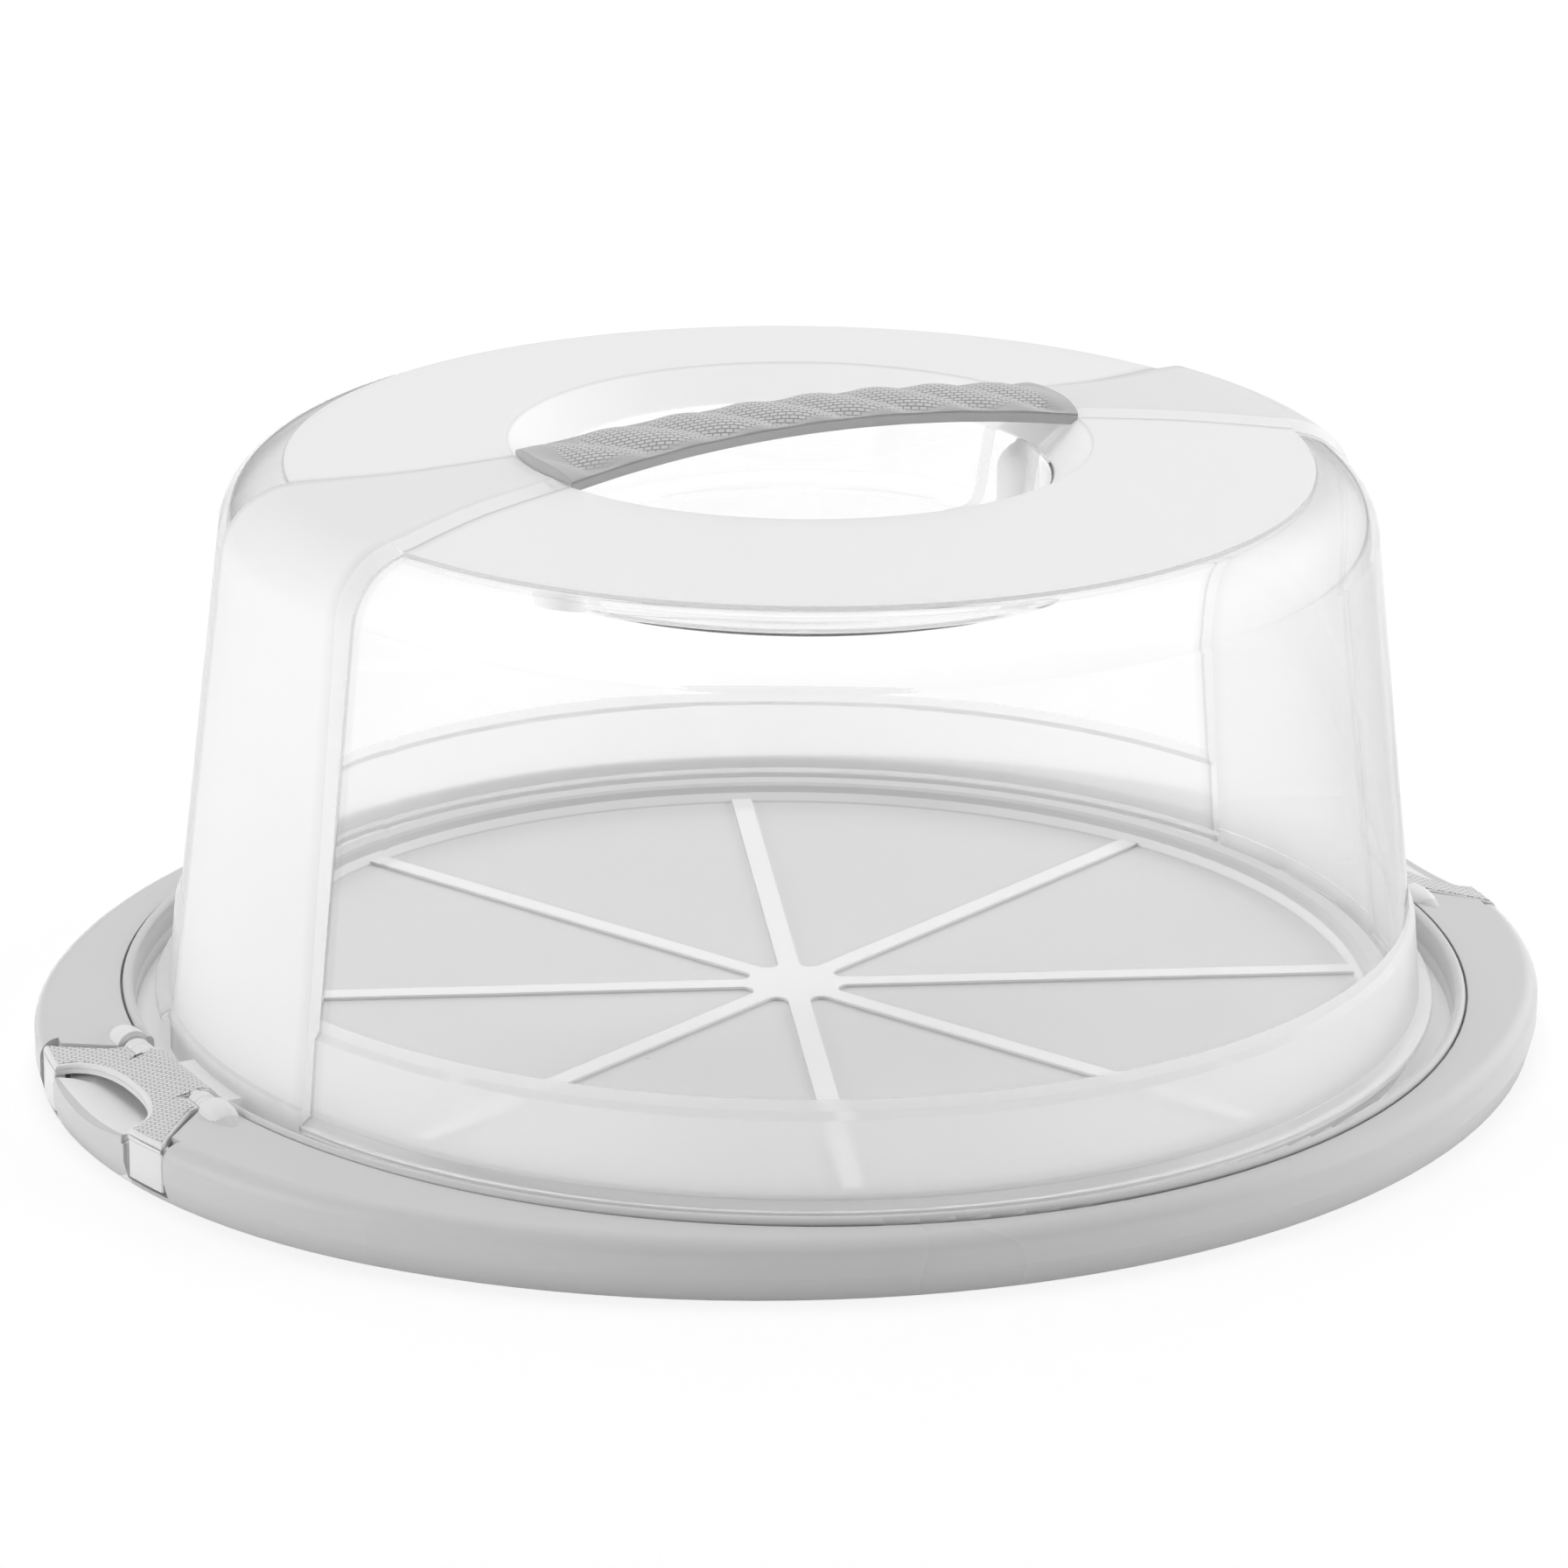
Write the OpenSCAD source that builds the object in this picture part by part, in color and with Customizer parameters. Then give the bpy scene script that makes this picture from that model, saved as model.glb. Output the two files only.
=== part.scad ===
// Round cake carrier: an oval-rimmed serving tray, a clear lift-off dome with two
// raised straps, a carrying handle across a bowl in the dome's crown, and two
// hinged side latches that hook over heels at the foot of the dome.
// Z is up, X runs along the handle and the latches, z = 0 is the table.

/* [Tray] */
// width of the rim beyond the lip at the latches, mm
rim_end = 23.5; // [21:0.5:34]
// width of the rim beyond the lip at the sides, mm
rim_side = 7; // [6:0.5:12]
// height of the rim's crest above the table, mm
rim_crest = 13.4; // [12:0.2:18]
// radius of the soft outer edge of the rim, mm
rim_round = 4; // [2:0.5:6]
// slope of the rim's top, rising towards the lip, degrees
rim_slope = 4; // [2:0.5:6]
// draft of the skirt at its foot, mm
skirt_draft = 1.3; // [0.5:0.1:2.5]
// wall of the tray moulding, mm
tray_wall = 2.2; // [1.6:0.1:3]
// gap between the dome's flange and the outer wall of the moat, mm
moat_room = 4.7; // [4:0.1:8]
// radius of the rounded top of the lip round the moat, mm
lip_bead = 1.2; // [0.8:0.1:1.8]
// height that the lip stands above the crest, mm
lip_rise = 1.8; // [1:0.1:3]
// floor of the moat above the table, mm
moat_z = 6; // [5:0.1:8]
// height of the cake plate's floor above the table, mm
plate_z = 9.7; // [8:0.1:12]
// height of the ring round the cake plate, mm
ring_h = 4.3; // [2:0.1:6]
// width of that ring, mm
ring_w = 6.1; // [4:0.1:9]
// gap between the ring and the inside of the dome's wall, mm
ring_gap = 2.4; // [1.6:0.1:4]

/* [Star on the cake plate] */
// number of portion ribs
rib_count = 8; // [4:2:16]
// width of a portion rib, mm
rib_w = 5; // [3:0.5:8]
// height of a portion rib, mm
rib_h = 0.8; // [0.4:0.1:1.6]
// fillet between neighbouring ribs at the hub, mm
rib_fillet = 2.6; // [1:0.2:6]

/* [Underside of the tray] */
// radius of the inner stiffening ring, mm
web_ring_a = 42; // [30:1:60]
// radius of the outer stiffening ring, mm
web_ring_b = 88; // [70:1:110]
// thickness of the stiffening web, mm
web_t = 1.6; // [1.2:0.1:2.4]
// height of the web's foot above the table, mm
web_foot = 2.4; // [1:0.1:4]
// length of a cored pocket under the solid ends, mm
core_len = 8; // [4:0.5:10]
// width of a cored pocket, mm
core_wid = 12; // [8:0.5:13]
// distance between cored pockets, mm
core_pitch = 14.5; // [14:0.5:18]
// height of a cored pocket's roof above the table, mm
core_top = 5.5; // [3:0.1:6]

/* [Dome] */
// outer radius of the wall at the foot, mm
dome_r = 142; // [125:0.5:160]
// height of the crown's edge above the table, mm
crown_z = 135.2; // [120:1:160]
// distance of the frosted crown's edge inside the line of the wall, mm
crown_in = 13.08; // [10:0.1:20]
// step of the crown above the shoulder, mm
crown_step = 0.8; // [0.4:0.1:1.5]
// wall of the dome moulding, mm
dome_wall = 2; // [1.6:0.1:3]
// radius of the shoulder, mm
shoulder_r = 15.5; // [10:0.5:20]
// lean of the wall, mm per mm of height
wall_lean = 0.1155; // [0.08:0.005:0.14]
// slope of the crown towards the bowl, degrees
crown_slope = 5; // [3:0.5:7]
// top of the raised band round the foot, mm
band_z = 33; // [24:1:45]
// how far the band stands out from the wall, mm
band_out = 1.1; // [0.6:0.1:1.6]
// gap under the dome's foot, mm
foot_gap = 0.3; // [0.2:0.1:1]
// how far the flange round the foot stands out, mm
flange_out = 3.3; // [2:0.1:5]

/* [Straps] */
// half angle that a strap covers on the wall, degrees
strap_angle = 15; // [12:0.5:18]
// how far a strap stands out from the wall, mm
strap_out = 1.5; // [1:0.1:2]
// how far a strap stands above the crown, mm
strap_rise = 1.3; // [0.8:0.1:2]
// width of the bevel along a strap's edge, mm
strap_bevel = 4; // [2:0.5:6]
// radius of the curve that narrows a strap towards the handle, mm
strap_neck_r = 167; // [150:1:200]

/* [Bowl and handle] */
// radius of the bowl below its sloping collar, mm
bowl_r = 56; // [50:1:62]
// width of the bowl's sloping collar, mm
collar_w = 10; // [8:0.5:14]
// depth of the bowl's collar, mm
collar_h = 7.8; // [5:0.2:12]
// depth of the bowl below the mouth, mm
bowl_depth = 25.5; // [20:0.5:32]
// width of the handle at its ends, mm
handle_w = 28; // [22:1:30]
// width that the handle narrows to at its middle, mm
handle_waist = 20; // [16:1:26]
// rise of the handle's underside at the middle, mm
handle_rise = 5; // [3:0.5:10]
// thickness of the handle's rigid bar, mm
bar_t = 2.1; // [1.8:0.1:4]
// height of the soft grip above the bar, mm
grip_t = 2.3; // [2:0.1:4]
// number of finger grooves across the grip
groove_count = 8; // [5:1:10]
// depth of a finger groove, mm
groove_d = 0.9; // [0.4:0.1:1.4]
// radius of a finger groove, mm
groove_r = 9; // [6:0.5:12]
// radius of the pegs under the handle, mm
peg_r = 3; // [2:0.1:4]
// radial clearance of the handle's pegs, mm
peg_gap = 0.05; // [0.03:0.01:0.1]

/* [Latches] */
// distance of a latch's hinge axis outside the lip, mm
pivot_out = 1.9; // [1.5:0.1:3]
// depth of the hinge axis below the lip's top, mm
pivot_drop = 2.8; // [2.2:0.1:3.4]
// radius of a latch's barrel, mm
barrel_r = 3.1; // [2.5:0.1:3.6]
// length of a latch's barrel, mm
barrel_len = 43; // [38:1:48]
// gap at each end of the barrel, mm
barrel_end_gap = 0.5; // [0.3:0.1:1]
// radius of the tray's bosses that hold the hinge pegs, mm
boss_out = 3.7; // [3.2:0.1:4.4]
// length of a boss up to its bullet-shaped end, mm
boss_len = 8; // [6:0.5:12]
// radius of a latch's hinge pegs, mm
pin_r = 1.6; // [1.2:0.1:2]
// radial clearance of the hinge pegs, mm
pin_gap = 0.06; // [0.03:0.01:0.1]
// length of a hinge peg, mm
pin_len = 5; // [3:0.5:7]
// thickness of a latch's plate, mm
latch_t = 2.8; // [2:0.1:3.4]
// distance between the outer sides of a latch's legs, mm
latch_w = 67; // [60:1:74]
// width of a latch's leg, mm
leg_w = 12.5; // [9:0.5:15]
// thickness of a latch's leg, mm
leg_t = 2.8; // [2:0.1:3.4]
// height of a leg's foot above the table, mm
leg_foot = 1.8; // [1:0.1:3]
// gap between a latch and its pocket, mm
latch_gap = 1.1; // [0.6:0.1:2]
// solid material beside a latch's pocket, mm
seat_wall = 5; // [3:0.5:8]
// how far that material reaches in past the lip, mm
seat_in = 6.5; // [5:0.5:8]
// reach of the hook's nose from the hinge axis, mm
nose_reach = 6.3; // [5.5:0.1:7]
// width of the hook's nose, mm
nose_w = 24; // [16:1:28]
// gap between the nose and the heel, mm
nose_gap = 0.4; // [0.3:0.1:0.8]
// depth of the finger arch from the tray's end, mm
arch_in = 11.6; // [10:0.2:14]
// radius of the finger arch's corners, mm
arch_round = 12; // [6:0.5:16]
// lowest point of the finger scoop above the table, mm
scoop_z = 8.6; // [8:0.1:10]
// radius of the finger scoop, mm
scoop_r = 90; // [60:5:120]
// thickness of the latch's textured pad, mm
pad_t = 0.8; // [0.5:0.1:1.2]
// smooth border round the pad, mm
pad_border = 1.2; // [0.8:0.1:2]

/* [Hidden] */
$fn = 96;
eps = 0.01;

// what fits round the foot of the dome, from the flange outwards
flange_r = dome_r + flange_out;
moat_out = flange_r + moat_room;
lip_r = moat_out + 0.3 + lip_bead;
half_l = lip_r + rim_end;
half_w = lip_r + rim_side;

// oval outline: two end arcs and two side arcs; their centres form 3-4-5 triangles, so the arcs
// meet at a tangent on lines that rise 0.6 for every 0.8
end_c = 2 * (half_l - half_w);
side_c = 1.5 * (half_l - half_w);
end_r = half_l - end_c;
side_r = half_w + side_c;

// the rim's top seen along the latch axis
lip_top = rim_crest + lip_rise;
// taller than anything on the tray
high = 4 * lip_top;
function rim_top(x) = rim_crest + (half_l - rim_round - x) * tan(rim_slope);

// moat and cake plate
ring_out = dome_r - dome_wall - ring_gap;
ring_in = ring_out - ring_w;
ring_top = plate_z + ring_h;

// dome profile lines: a wall line and a crown line, each with its unit normal
foot_z = moat_z + foot_gap;
foot_top = lip_top - 0.5;
wall_ref = dome_r - 0.5;
wall_n = [cos(atan(wall_lean)), sin(atan(wall_lean))];
crown_n = [sin(crown_slope), cos(crown_slope)];
function wall_r(z) = wall_ref - (z - foot_top) * wall_lean;
crown_r = wall_r(crown_z) - crown_in;
function crown_at(r) = crown_z + (crown_r - r) * tan(crown_slope);
// centre of the arc of radius rho that touches the wall, moved out by w, and the crown, moved up by c
function corner(rho, w, c) =
    let (p = wall_n * [wall_ref, foot_top] + w - rho)
    let (q = crown_n * [crown_r, crown_z] + c - rho)
    let (d = wall_n[0] * crown_n[1] - wall_n[1] * crown_n[0])
    [(p * crown_n[1] - q * wall_n[1]) / d, (q * wall_n[0] - p * crown_n[0]) / d];

mouth_r = bowl_r + collar_w;
mouth_z = crown_at(mouth_r);
handle_end = mouth_r + 2;
collar_z = mouth_z - collar_h;
bowl_z = mouth_z - bowl_depth;
split_r = handle_end + 0.2;
strap_shoulder = shoulder_r + strap_out;
neck_x = mouth_r - 28;

// handle: an arch about an axis parallel to Y
handle_z = mouth_z - 0.4;
arch_r = (pow(handle_end, 2) + pow(handle_rise, 2)) / (2 * handle_rise);
arch_z = handle_z + handle_rise - arch_r;
peg_x = bowl_r + peg_r + 1.5;
peg_foot = collar_z - 12;
boss_r = peg_r + 3;

// latch
leg_out = latch_w / 2;
leg_in = leg_out - leg_w;
leg_x = half_l - 1.4;
leg_r = end_r - 0.6;
pivot_x = lip_r + pivot_out;
pivot_z = lip_top - pivot_drop;
arch_apex = half_l - arch_in;
plate_top = barrel_r + pivot_z - 0.5;
plate_drop = atan((plate_top - rim_top(leg_x - 2) + 0.6) / (leg_x - 2 - pivot_x));
open_room = nose_reach + nose_gap;

// sweeps a profile round the oval; the profile's x = 0 lies on the outline
module oval_sweep() {
    for (s = [0, 180]) rotate([0, 0, s]) {
        intersection() {
            translate([end_c, 0, 0]) rotate_extrude($fn = 180) translate([end_r, 0]) children();
            translate([end_c, 0, -5]) linear_extrude(height = high + 5)
                polygon(end_r / 2 * [[0, 0], [4, -3], [4, 3]]);
        }
        intersection() {
            translate([0, -side_c, 0]) rotate_extrude($fn = 240) translate([side_r, 0]) children();
            translate([0, -side_c, -5]) linear_extrude(height = high + 5)
                polygon(side_r / 2 * [[0, 0], [4, 3], [-4, 3]]);
        }
    }
}

// the rim's section, filled below, inset by a wall when the inner side is wanted
module rim_section(inset) {
    rr = rim_round - (inset > 0 ? tray_wall - 0.2 : 0);
    reach = rim_end + seat_in + 2;
    intersection() {
        union() {
            polygon([[-reach, -eps], [-skirt_draft - inset, -eps], [-inset, 5],
                     [-inset, rim_crest - inset - rr], [-inset - rr, rim_crest - inset],
                     [-reach, rim_crest - inset + (reach - inset - rr) * tan(rim_slope)]]);
            translate([-inset - rr, rim_crest - inset - rr]) circle(r = rr, $fn = 48);
        }
        translate([-reach, inset > 0 ? -1 : 0]) square([reach + 1, high]);
    }
}

module tray_inner_section() {
    t = tray_wall;
    difference() {
        union() {
            polygon([[0, plate_z], [ring_in - 2, plate_z], [ring_in, ring_top - 0.6],
                     [ring_in + 1, ring_top], [ring_out - 1.2, ring_top],
                     [ring_out - 0.3, ring_top - 0.8], [ring_out, moat_z], [moat_out, moat_z],
                     [moat_out + 0.3, lip_top - lip_bead], [lip_r + 2.6, lip_top - 3.6],
                     [lip_r + 2.6, moat_z - t], [ring_out - 1.6 - t, moat_z - t],
                     [ring_out - 2.2 - t, plate_z - t], [0, plate_z - t]]);
            translate([lip_r, lip_top - lip_bead]) circle(r = lip_bead, $fn = 32);
        }
        translate([moat_out + 1.2 + t, moat_z - t - 1]) square([6, 3.4]);
    }
}

module star() {
    hub_d = (rib_fillet + rib_w / 2) / sin(180 / rib_count);
    translate([0, 0, plate_z - 0.5]) linear_extrude(height = rib_h + 0.5) {
        for (k = [0 : rib_count - 1])
            rotate(360 / rib_count * (k + 0.5)) translate([0, -rib_w / 2]) square([ring_in - 1, rib_w]);
        difference() {
            circle(r = hub_d * cos(180 / rib_count), $fn = 64);
            for (k = [0 : rib_count - 1])
                rotate(360 / rib_count * k) translate([hub_d, 0]) circle(r = rib_fillet, $fn = 32);
        }
    }
}

// bullet-shaped boss that carries one hinge peg; dir = 1 or -1 along Y
module hinge_boss(dir) {
    translate([pivot_x, dir * (barrel_len / 2 - 1), pivot_z]) rotate([-dir * 90, 0, 0]) {
        cylinder(h = boss_len, r = boss_out, $fn = 48);
        translate([0, 0, boss_len]) cylinder(h = 4, r1 = boss_out, r2 = boss_out - 1.4, $fn = 48);
        translate([0, 0, boss_len + 4]) sphere(r = boss_out - 1.4, $fn = 32);
    }
}

// plan of a latch on the +X side without its finger arch, grown by g
module latch_plan(g) {
    w = barrel_len / 2 + (g > 0 ? barrel_end_gap : g - 0.5);
    x0 = pivot_x + barrel_r + 0.6 - g / 2;
    difference() {
        polygon([[pivot_x - 5 - g, -w], [x0, -w], [x0 + 5, -w - 4.5], [leg_x - 5, -leg_out + 1.5 - g],
                 [leg_x - 2, -leg_out - g], [leg_x + 6, -leg_out - g], [leg_x + 6, leg_out + g],
                 [leg_x - 2, leg_out + g], [leg_x - 5, leg_out - 1.5 + g], [x0 + 5, w + 4.5],
                 [x0, w], [pivot_x - 5 - g, w]]);
        circle(r = pivot_x - barrel_r + 0.2 - g, $fn = 240);
    }
}

// the same with the finger arch, a rounded rectangle, cut from its outer side
module plate_plan(g) {
    half = leg_in - 0.4 - g;
    difference() {
        latch_plan(g);
        translate([arch_apex + g, -half + arch_round]) square([2 * rim_end, 2 * half - 2 * arch_round]);
        translate([arch_apex + g + arch_round, -half]) square([2 * rim_end, 2 * half]);
        for (s = [-1, 1]) translate([arch_apex + g + arch_round, s * (half - arch_round)])
            circle(r = arch_round, $fn = 96);
    }
}

// the tray's latch seat on the +X side, cut from the solid end of the rim
module latch_seat_cuts() {
    g = latch_gap;
    // room for the plate, sloping with it
    translate([pivot_x, 0, plate_top - latch_t - 0.8]) rotate([0, plate_drop, 0])
        translate([-pivot_x, 0, 0]) linear_extrude(height = lip_top) plate_plan(g);
    // room for the barrel with the plate's inner edge, and for the nose
    translate([pivot_x, 0, pivot_z]) rotate([90, 0, 0])
        cylinder(h = barrel_len + 2 * barrel_end_gap, r = barrel_r + 2.4, center = true);
    translate([pivot_x, 0, pivot_z]) rotate([90, 0, 0])
        cylinder(h = nose_w + 3, r = open_room + 0.3, center = true);
    // notches for the legs
    for (s = [-1, 1]) intersection() {
        translate([leg_x - rim_end / 2, s * (leg_in + leg_out) / 2 - leg_w / 2 - g, leg_foot - 0.8])
            cube([2 * rim_end, leg_w + 2 * g, high]);
        translate([end_c, 0, 0]) difference() {
            cylinder(h = high, r = end_r + 20, $fn = 240);
            translate([0, 0, -1]) cylinder(h = high + 2, r = leg_r - leg_t - 0.9, $fn = 240);
        }
    }
    // finger scoop between the legs, lowest in the middle
    intersection() {
        translate([pivot_x + 4.1, 0, scoop_z + scoop_r]) rotate([0, 90, 0])
            cylinder(h = 2 * rim_end, r = scoop_r, $fn = 240);
        translate([pivot_x, -leg_in - 0.4, 0]) cube([2 * rim_end, 2 * leg_in + 0.8, high]);
    }
    // bores for the hinge pegs
    translate([pivot_x, 0, pivot_z]) rotate([90, 0, 0])
        cylinder(h = barrel_len + 2 * pin_len + 3, r = pin_r + pin_gap, center = true, $fn = 48);
}

// stiffening web under the tray: rings and spokes
module tray_web() {
    top = plate_z - tray_wall + 0.6;
    intersection() {
        translate([0, 0, web_foot]) linear_extrude(height = top - web_foot) {
            for (r = [web_ring_a, web_ring_b]) difference() {
                circle(r = r + web_t / 2, $fn = 180);
                circle(r = r - web_t / 2, $fn = 180);
            }
            for (k = [0 : rib_count - 1])
                rotate(360 / rib_count * (k + 0.5)) translate([web_ring_a, -web_t / 2])
                    square([ring_out - web_ring_a, web_t]);
        }
        cylinder(h = high, r = ring_out - 3.2, $fn = 180);
    }
}

module tray() {
    color([0.84, 0.84, 0.84]) {
        difference() {
            union() {
                // rim: an open-bottomed shell on the oval, cut back to the moat
                difference() {
                    oval_sweep() rim_section(0);
                    difference() {
                        oval_sweep() rim_section(tray_wall);
                        // the ends stay thick where the latches sit
                        for (s = [-1, 1]) translate([s * (lip_r - seat_in + rim_end), 0, 0])
                            cube([2 * rim_end, latch_w + 2 * seat_wall, high], center = true);
                    }
                    translate([0, 0, -1]) cylinder(h = high, r = lip_r + 1.7, $fn = 240);
                }
                rotate_extrude($fn = 240) tray_inner_section();
                star();
                tray_web();
                // hinge bosses on both sides of both latches
                for (s = [0, 180]) rotate([0, 0, s]) for (d = [-1, 1]) hinge_boss(d);
            }
            for (s = [0, 180]) rotate([0, 0, s]) latch_seat_cuts();
            // the thick ends are cored out from below
            for (s = [-1, 1]) for (d = [-1, 0, 1])
                translate([s * (pivot_x + leg_x) / 2, d * core_pitch, core_top - lip_top])
                    linear_extrude(height = lip_top) square([core_len, core_wid], center = true);
        }
    }
}

// filled section of the dome, its wall moved out by w, its crown up by c, its shoulder's radius rho
module dome_shape(w, c, rho, z0) {
    m = corner(rho, w, c);
    t = m + rho * crown_n;
    polygon([[0, z0], [wall_r(z0) + w / wall_n[0], z0], m + rho * wall_n, t,
             [0, t[1] + t[0] * tan(crown_slope)]]);
    translate(m) circle(r = rho, $fn = 144);
}

// the bowl in the crown, grown by g
module bowl_section(g) {
    f = 5;
    polygon([[-1, bowl_z - g], [bowl_r - 3 - f + g, bowl_z - g], [bowl_r - 3 + g, bowl_z + f],
             [bowl_r + g, collar_z - g * 0.4], [mouth_r + g * 0.6, mouth_z - g],
             [mouth_r + g * 0.6, mouth_z + 20], [-1, mouth_z + 20]]);
    translate([bowl_r - 3 - f + g, bowl_z + f - g]) circle(r = f, $fn = 32);
}

module dome_section() {
    difference() {
        union() {
            dome_shape(0, -crown_step, shoulder_r, foot_z);
            // frosted crown
            polygon([[mouth_r - 26, crown_z - 6], [crown_r, crown_z - 6], [crown_r, crown_z],
                     [mouth_r - 26, crown_at(mouth_r - 26)]]);
            // band round the foot
            polygon([[dome_r - 12, foot_z], [dome_r + 0.3, foot_z], [dome_r, foot_top],
                     [wall_r(band_z - 0.6) + band_out, band_z - 0.6], [wall_r(band_z), band_z],
                     [dome_r - 12, band_z]]);
        }
        difference() {
            dome_shape(-dome_wall, -crown_step - dome_wall, shoulder_r - dome_wall, foot_z - 1);
            bowl_section(dome_wall);
        }
        bowl_section(0);
        translate([-1, foot_z - 2]) square([1, 200]);
    }
}

// the layer that a strap adds to the wall and the crown
module strap_section() {
    difference() {
        dome_shape(strap_out, strap_rise, strap_shoulder, foot_z);
        dome_shape(-1, -crown_step - 1, shoulder_r - 1, foot_z - 1);
        translate([-1, 0]) square([1 + split_r, 200]);
    }
    polygon([[dome_r - 1.5, foot_z], [dome_r + 1.8, foot_z], [dome_r + strap_out, foot_top],
             [wall_r(band_z - 1) + strap_out + band_out, band_z - 1],
             [wall_r(band_z + 1) + strap_out, band_z + 1],
             [wall_r(band_z + 1) - 0.8, band_z + 1]]);
}

// what a strap's bevel leaves on one side, seen with the strap's edge in the plane y = 0
module strap_bevel_keep() {
    s = strap_out / strap_bevel;
    c = corner(shoulder_r, 0, 0);
    big = 400;
    intersection() {
        // along the wall
        translate([wall_ref, 0, foot_top]) rotate([0, -atan(wall_lean), atan(s)])
            translate([-big, -big / 2, -big / 2]) cube(big);
        // along the crown
        translate([crown_r, 0, crown_z]) rotate([atan(s) * -1, crown_slope, 0])
            translate([-big / 2, -big / 2, -big]) cube(big);
        union() {
            translate([-big / 2, -big, c[1] - big]) cube([big, big, big]);
            translate([c[0] - big, -big, -big / 2]) cube([big, big, big]);
            translate([c[0], 0, c[1]]) rotate([90, 0, 0])
                cylinder(h = 80, r1 = shoulder_r, r2 = shoulder_r + s * 80, $fn = 144);
        }
    }
}

// one strap, on the +X side
module strap() {
    t = strap_out / strap_bevel;
    difference() {
        intersection() {
            rotate([0, 0, -strap_angle - 0.5]) rotate_extrude(angle = 2 * strap_angle + 1, $fn = 240)
                strap_section();
            rotate([0, 0, strap_angle]) strap_bevel_keep();
            mirror([0, 1, 0]) rotate([0, 0, strap_angle]) strap_bevel_keep();
        }
        // the necks that narrow it towards the handle, bevelled like its sides
        for (s = [-1, 1])
            translate([neck_x, s * (strap_neck_r + handle_w / 2 - 2.4), crown_at(neck_x) - 1])
                rotate([0, crown_slope, 0])
                    cylinder(h = 8, r1 = strap_neck_r - 2, r2 = strap_neck_r - 2 + 8 / t, $fn = 180);
    }
}

// the heel at a strap's foot that the latch hooks over, on the +X side
module heel() {
    intersection() {
        difference() {
            translate([dome_r - 1.5, -nose_w / 2 - 1, foot_z])
                cube([moat_out - dome_r + 0.9, nose_w + 2, 5.4]);
            translate([pivot_x, 0, pivot_z]) rotate([90, 0, 0])
                cylinder(h = 60, r = open_room, center = true);
        }
        cylinder(h = 40, r = moat_out - 0.5, $fn = 240);
    }
}

module dome() {
    color([0.93, 0.94, 0.95, 0.4]) {
        rotate_extrude($fn = 240) difference() {
            dome_section();
            square([split_r, 200]);
        }
        for (s = [0, 180]) rotate([0, 0, s]) {
            strap();
            heel();
            // flange round the foot, between the straps
            rotate([0, 0, strap_angle + 1]) rotate_extrude(angle = 178 - 2 * strap_angle, $fn = 240)
                polygon([[dome_r - 1, foot_top - 3], [flange_r, foot_top - 3],
                         [flange_r, foot_top - 1.4], [dome_r - 0.5, foot_top + 0.2]]);
        }
    }
}

// the bowl that the hand reaches into, joined to the crown all round its mouth
module hand_bowl() {
    color([0.93, 0.94, 0.95, 0.4]) {
        difference() {
            union() {
                rotate_extrude($fn = 240) intersection() {
                    dome_section();
                    square([split_r, 200]);
                }
                // bosses for the handle's pegs, hanging under the collar
                for (s = [0, 180]) rotate([0, 0, s]) intersection() {
                    translate([peg_x, 0, peg_foot]) cylinder(h = 40, r = boss_r, $fn = 64);
                    rotate_extrude($fn = 240)
                        polygon([[bowl_r + 0.7, peg_foot - 1], [split_r - 0.4, peg_foot - 1],
                                 [split_r - 0.4, mouth_z - 1.2], [mouth_r, mouth_z - 1.2],
                                 [bowl_r + 0.7, collar_z - 0.5]]);
                }
            }
            for (s = [-1, 1]) translate([s * peg_x, 0, peg_foot + 2])
                cylinder(h = 40, r = peg_r + peg_gap, $fn = 64);
            // flat seat under the handle's ends
            translate([0, 0, handle_z - 0.05]) linear_extrude(height = 20) handle_plan(0.1);
        }
    }
}

// plan of the handle: narrower at the middle, its ends on a circle round the mouth
module handle_plan(g) {
    neck = (pow(handle_end, 2) + pow((handle_w - handle_waist) / 2, 2)) / (handle_w - handle_waist);
    intersection() {
        difference() {
            square([2 * handle_end + 4, handle_w + 2 * g], center = true);
            for (s = [-1, 1])
                translate([0, s * (neck + handle_waist / 2 + g)]) circle(r = neck, $fn = 240);
        }
        circle(r = handle_end + g, $fn = 180);
    }
}

// an arched slab between two heights above the handle's underside
module arch_slab(z0, z1, w) {
    translate([0, 0, arch_z]) rotate([90, 0, 0]) rotate([0, 0, 60])
        rotate_extrude(angle = 60, $fn = 360)
            translate([arch_r + z0, -w / 2]) square([z1 - z0, w]);
}

module handle_bar() {
    color([0.66, 0.66, 0.66]) {
        difference() {
            union() {
                intersection() {
                    translate([0, 0, collar_z]) linear_extrude(height = bowl_depth) handle_plan(0);
                    arch_slab(0, bar_t, handle_w + 10);
                    bar_flanks();
                }
                for (s = [-1, 1]) translate([s * peg_x, 0, peg_foot + 2.6])
                    cylinder(h = mouth_z - peg_foot - 1, r = peg_r, $fn = 64);
            }
            // a hollow under the middle of the bar, as a moulding has
            intersection() {
                arch_slab(-2, bar_t - 1.5, 10);
                translate([20 - mouth_r, -handle_w / 2, collar_z])
                    cube([2 * mouth_r - 40, handle_w, bowl_depth]);
            }
        }
    }
}

// a long barrel that rounds the bar's lower flanks
module bar_flanks() {
    translate([0, 0, arch_z]) rotate([90, 0, 0]) rotate([0, 0, 60])
        rotate_extrude(angle = 60, $fn = 360)
            translate([arch_r + 17, 0]) circle(r = 18.2, $fn = 96);
}

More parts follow.
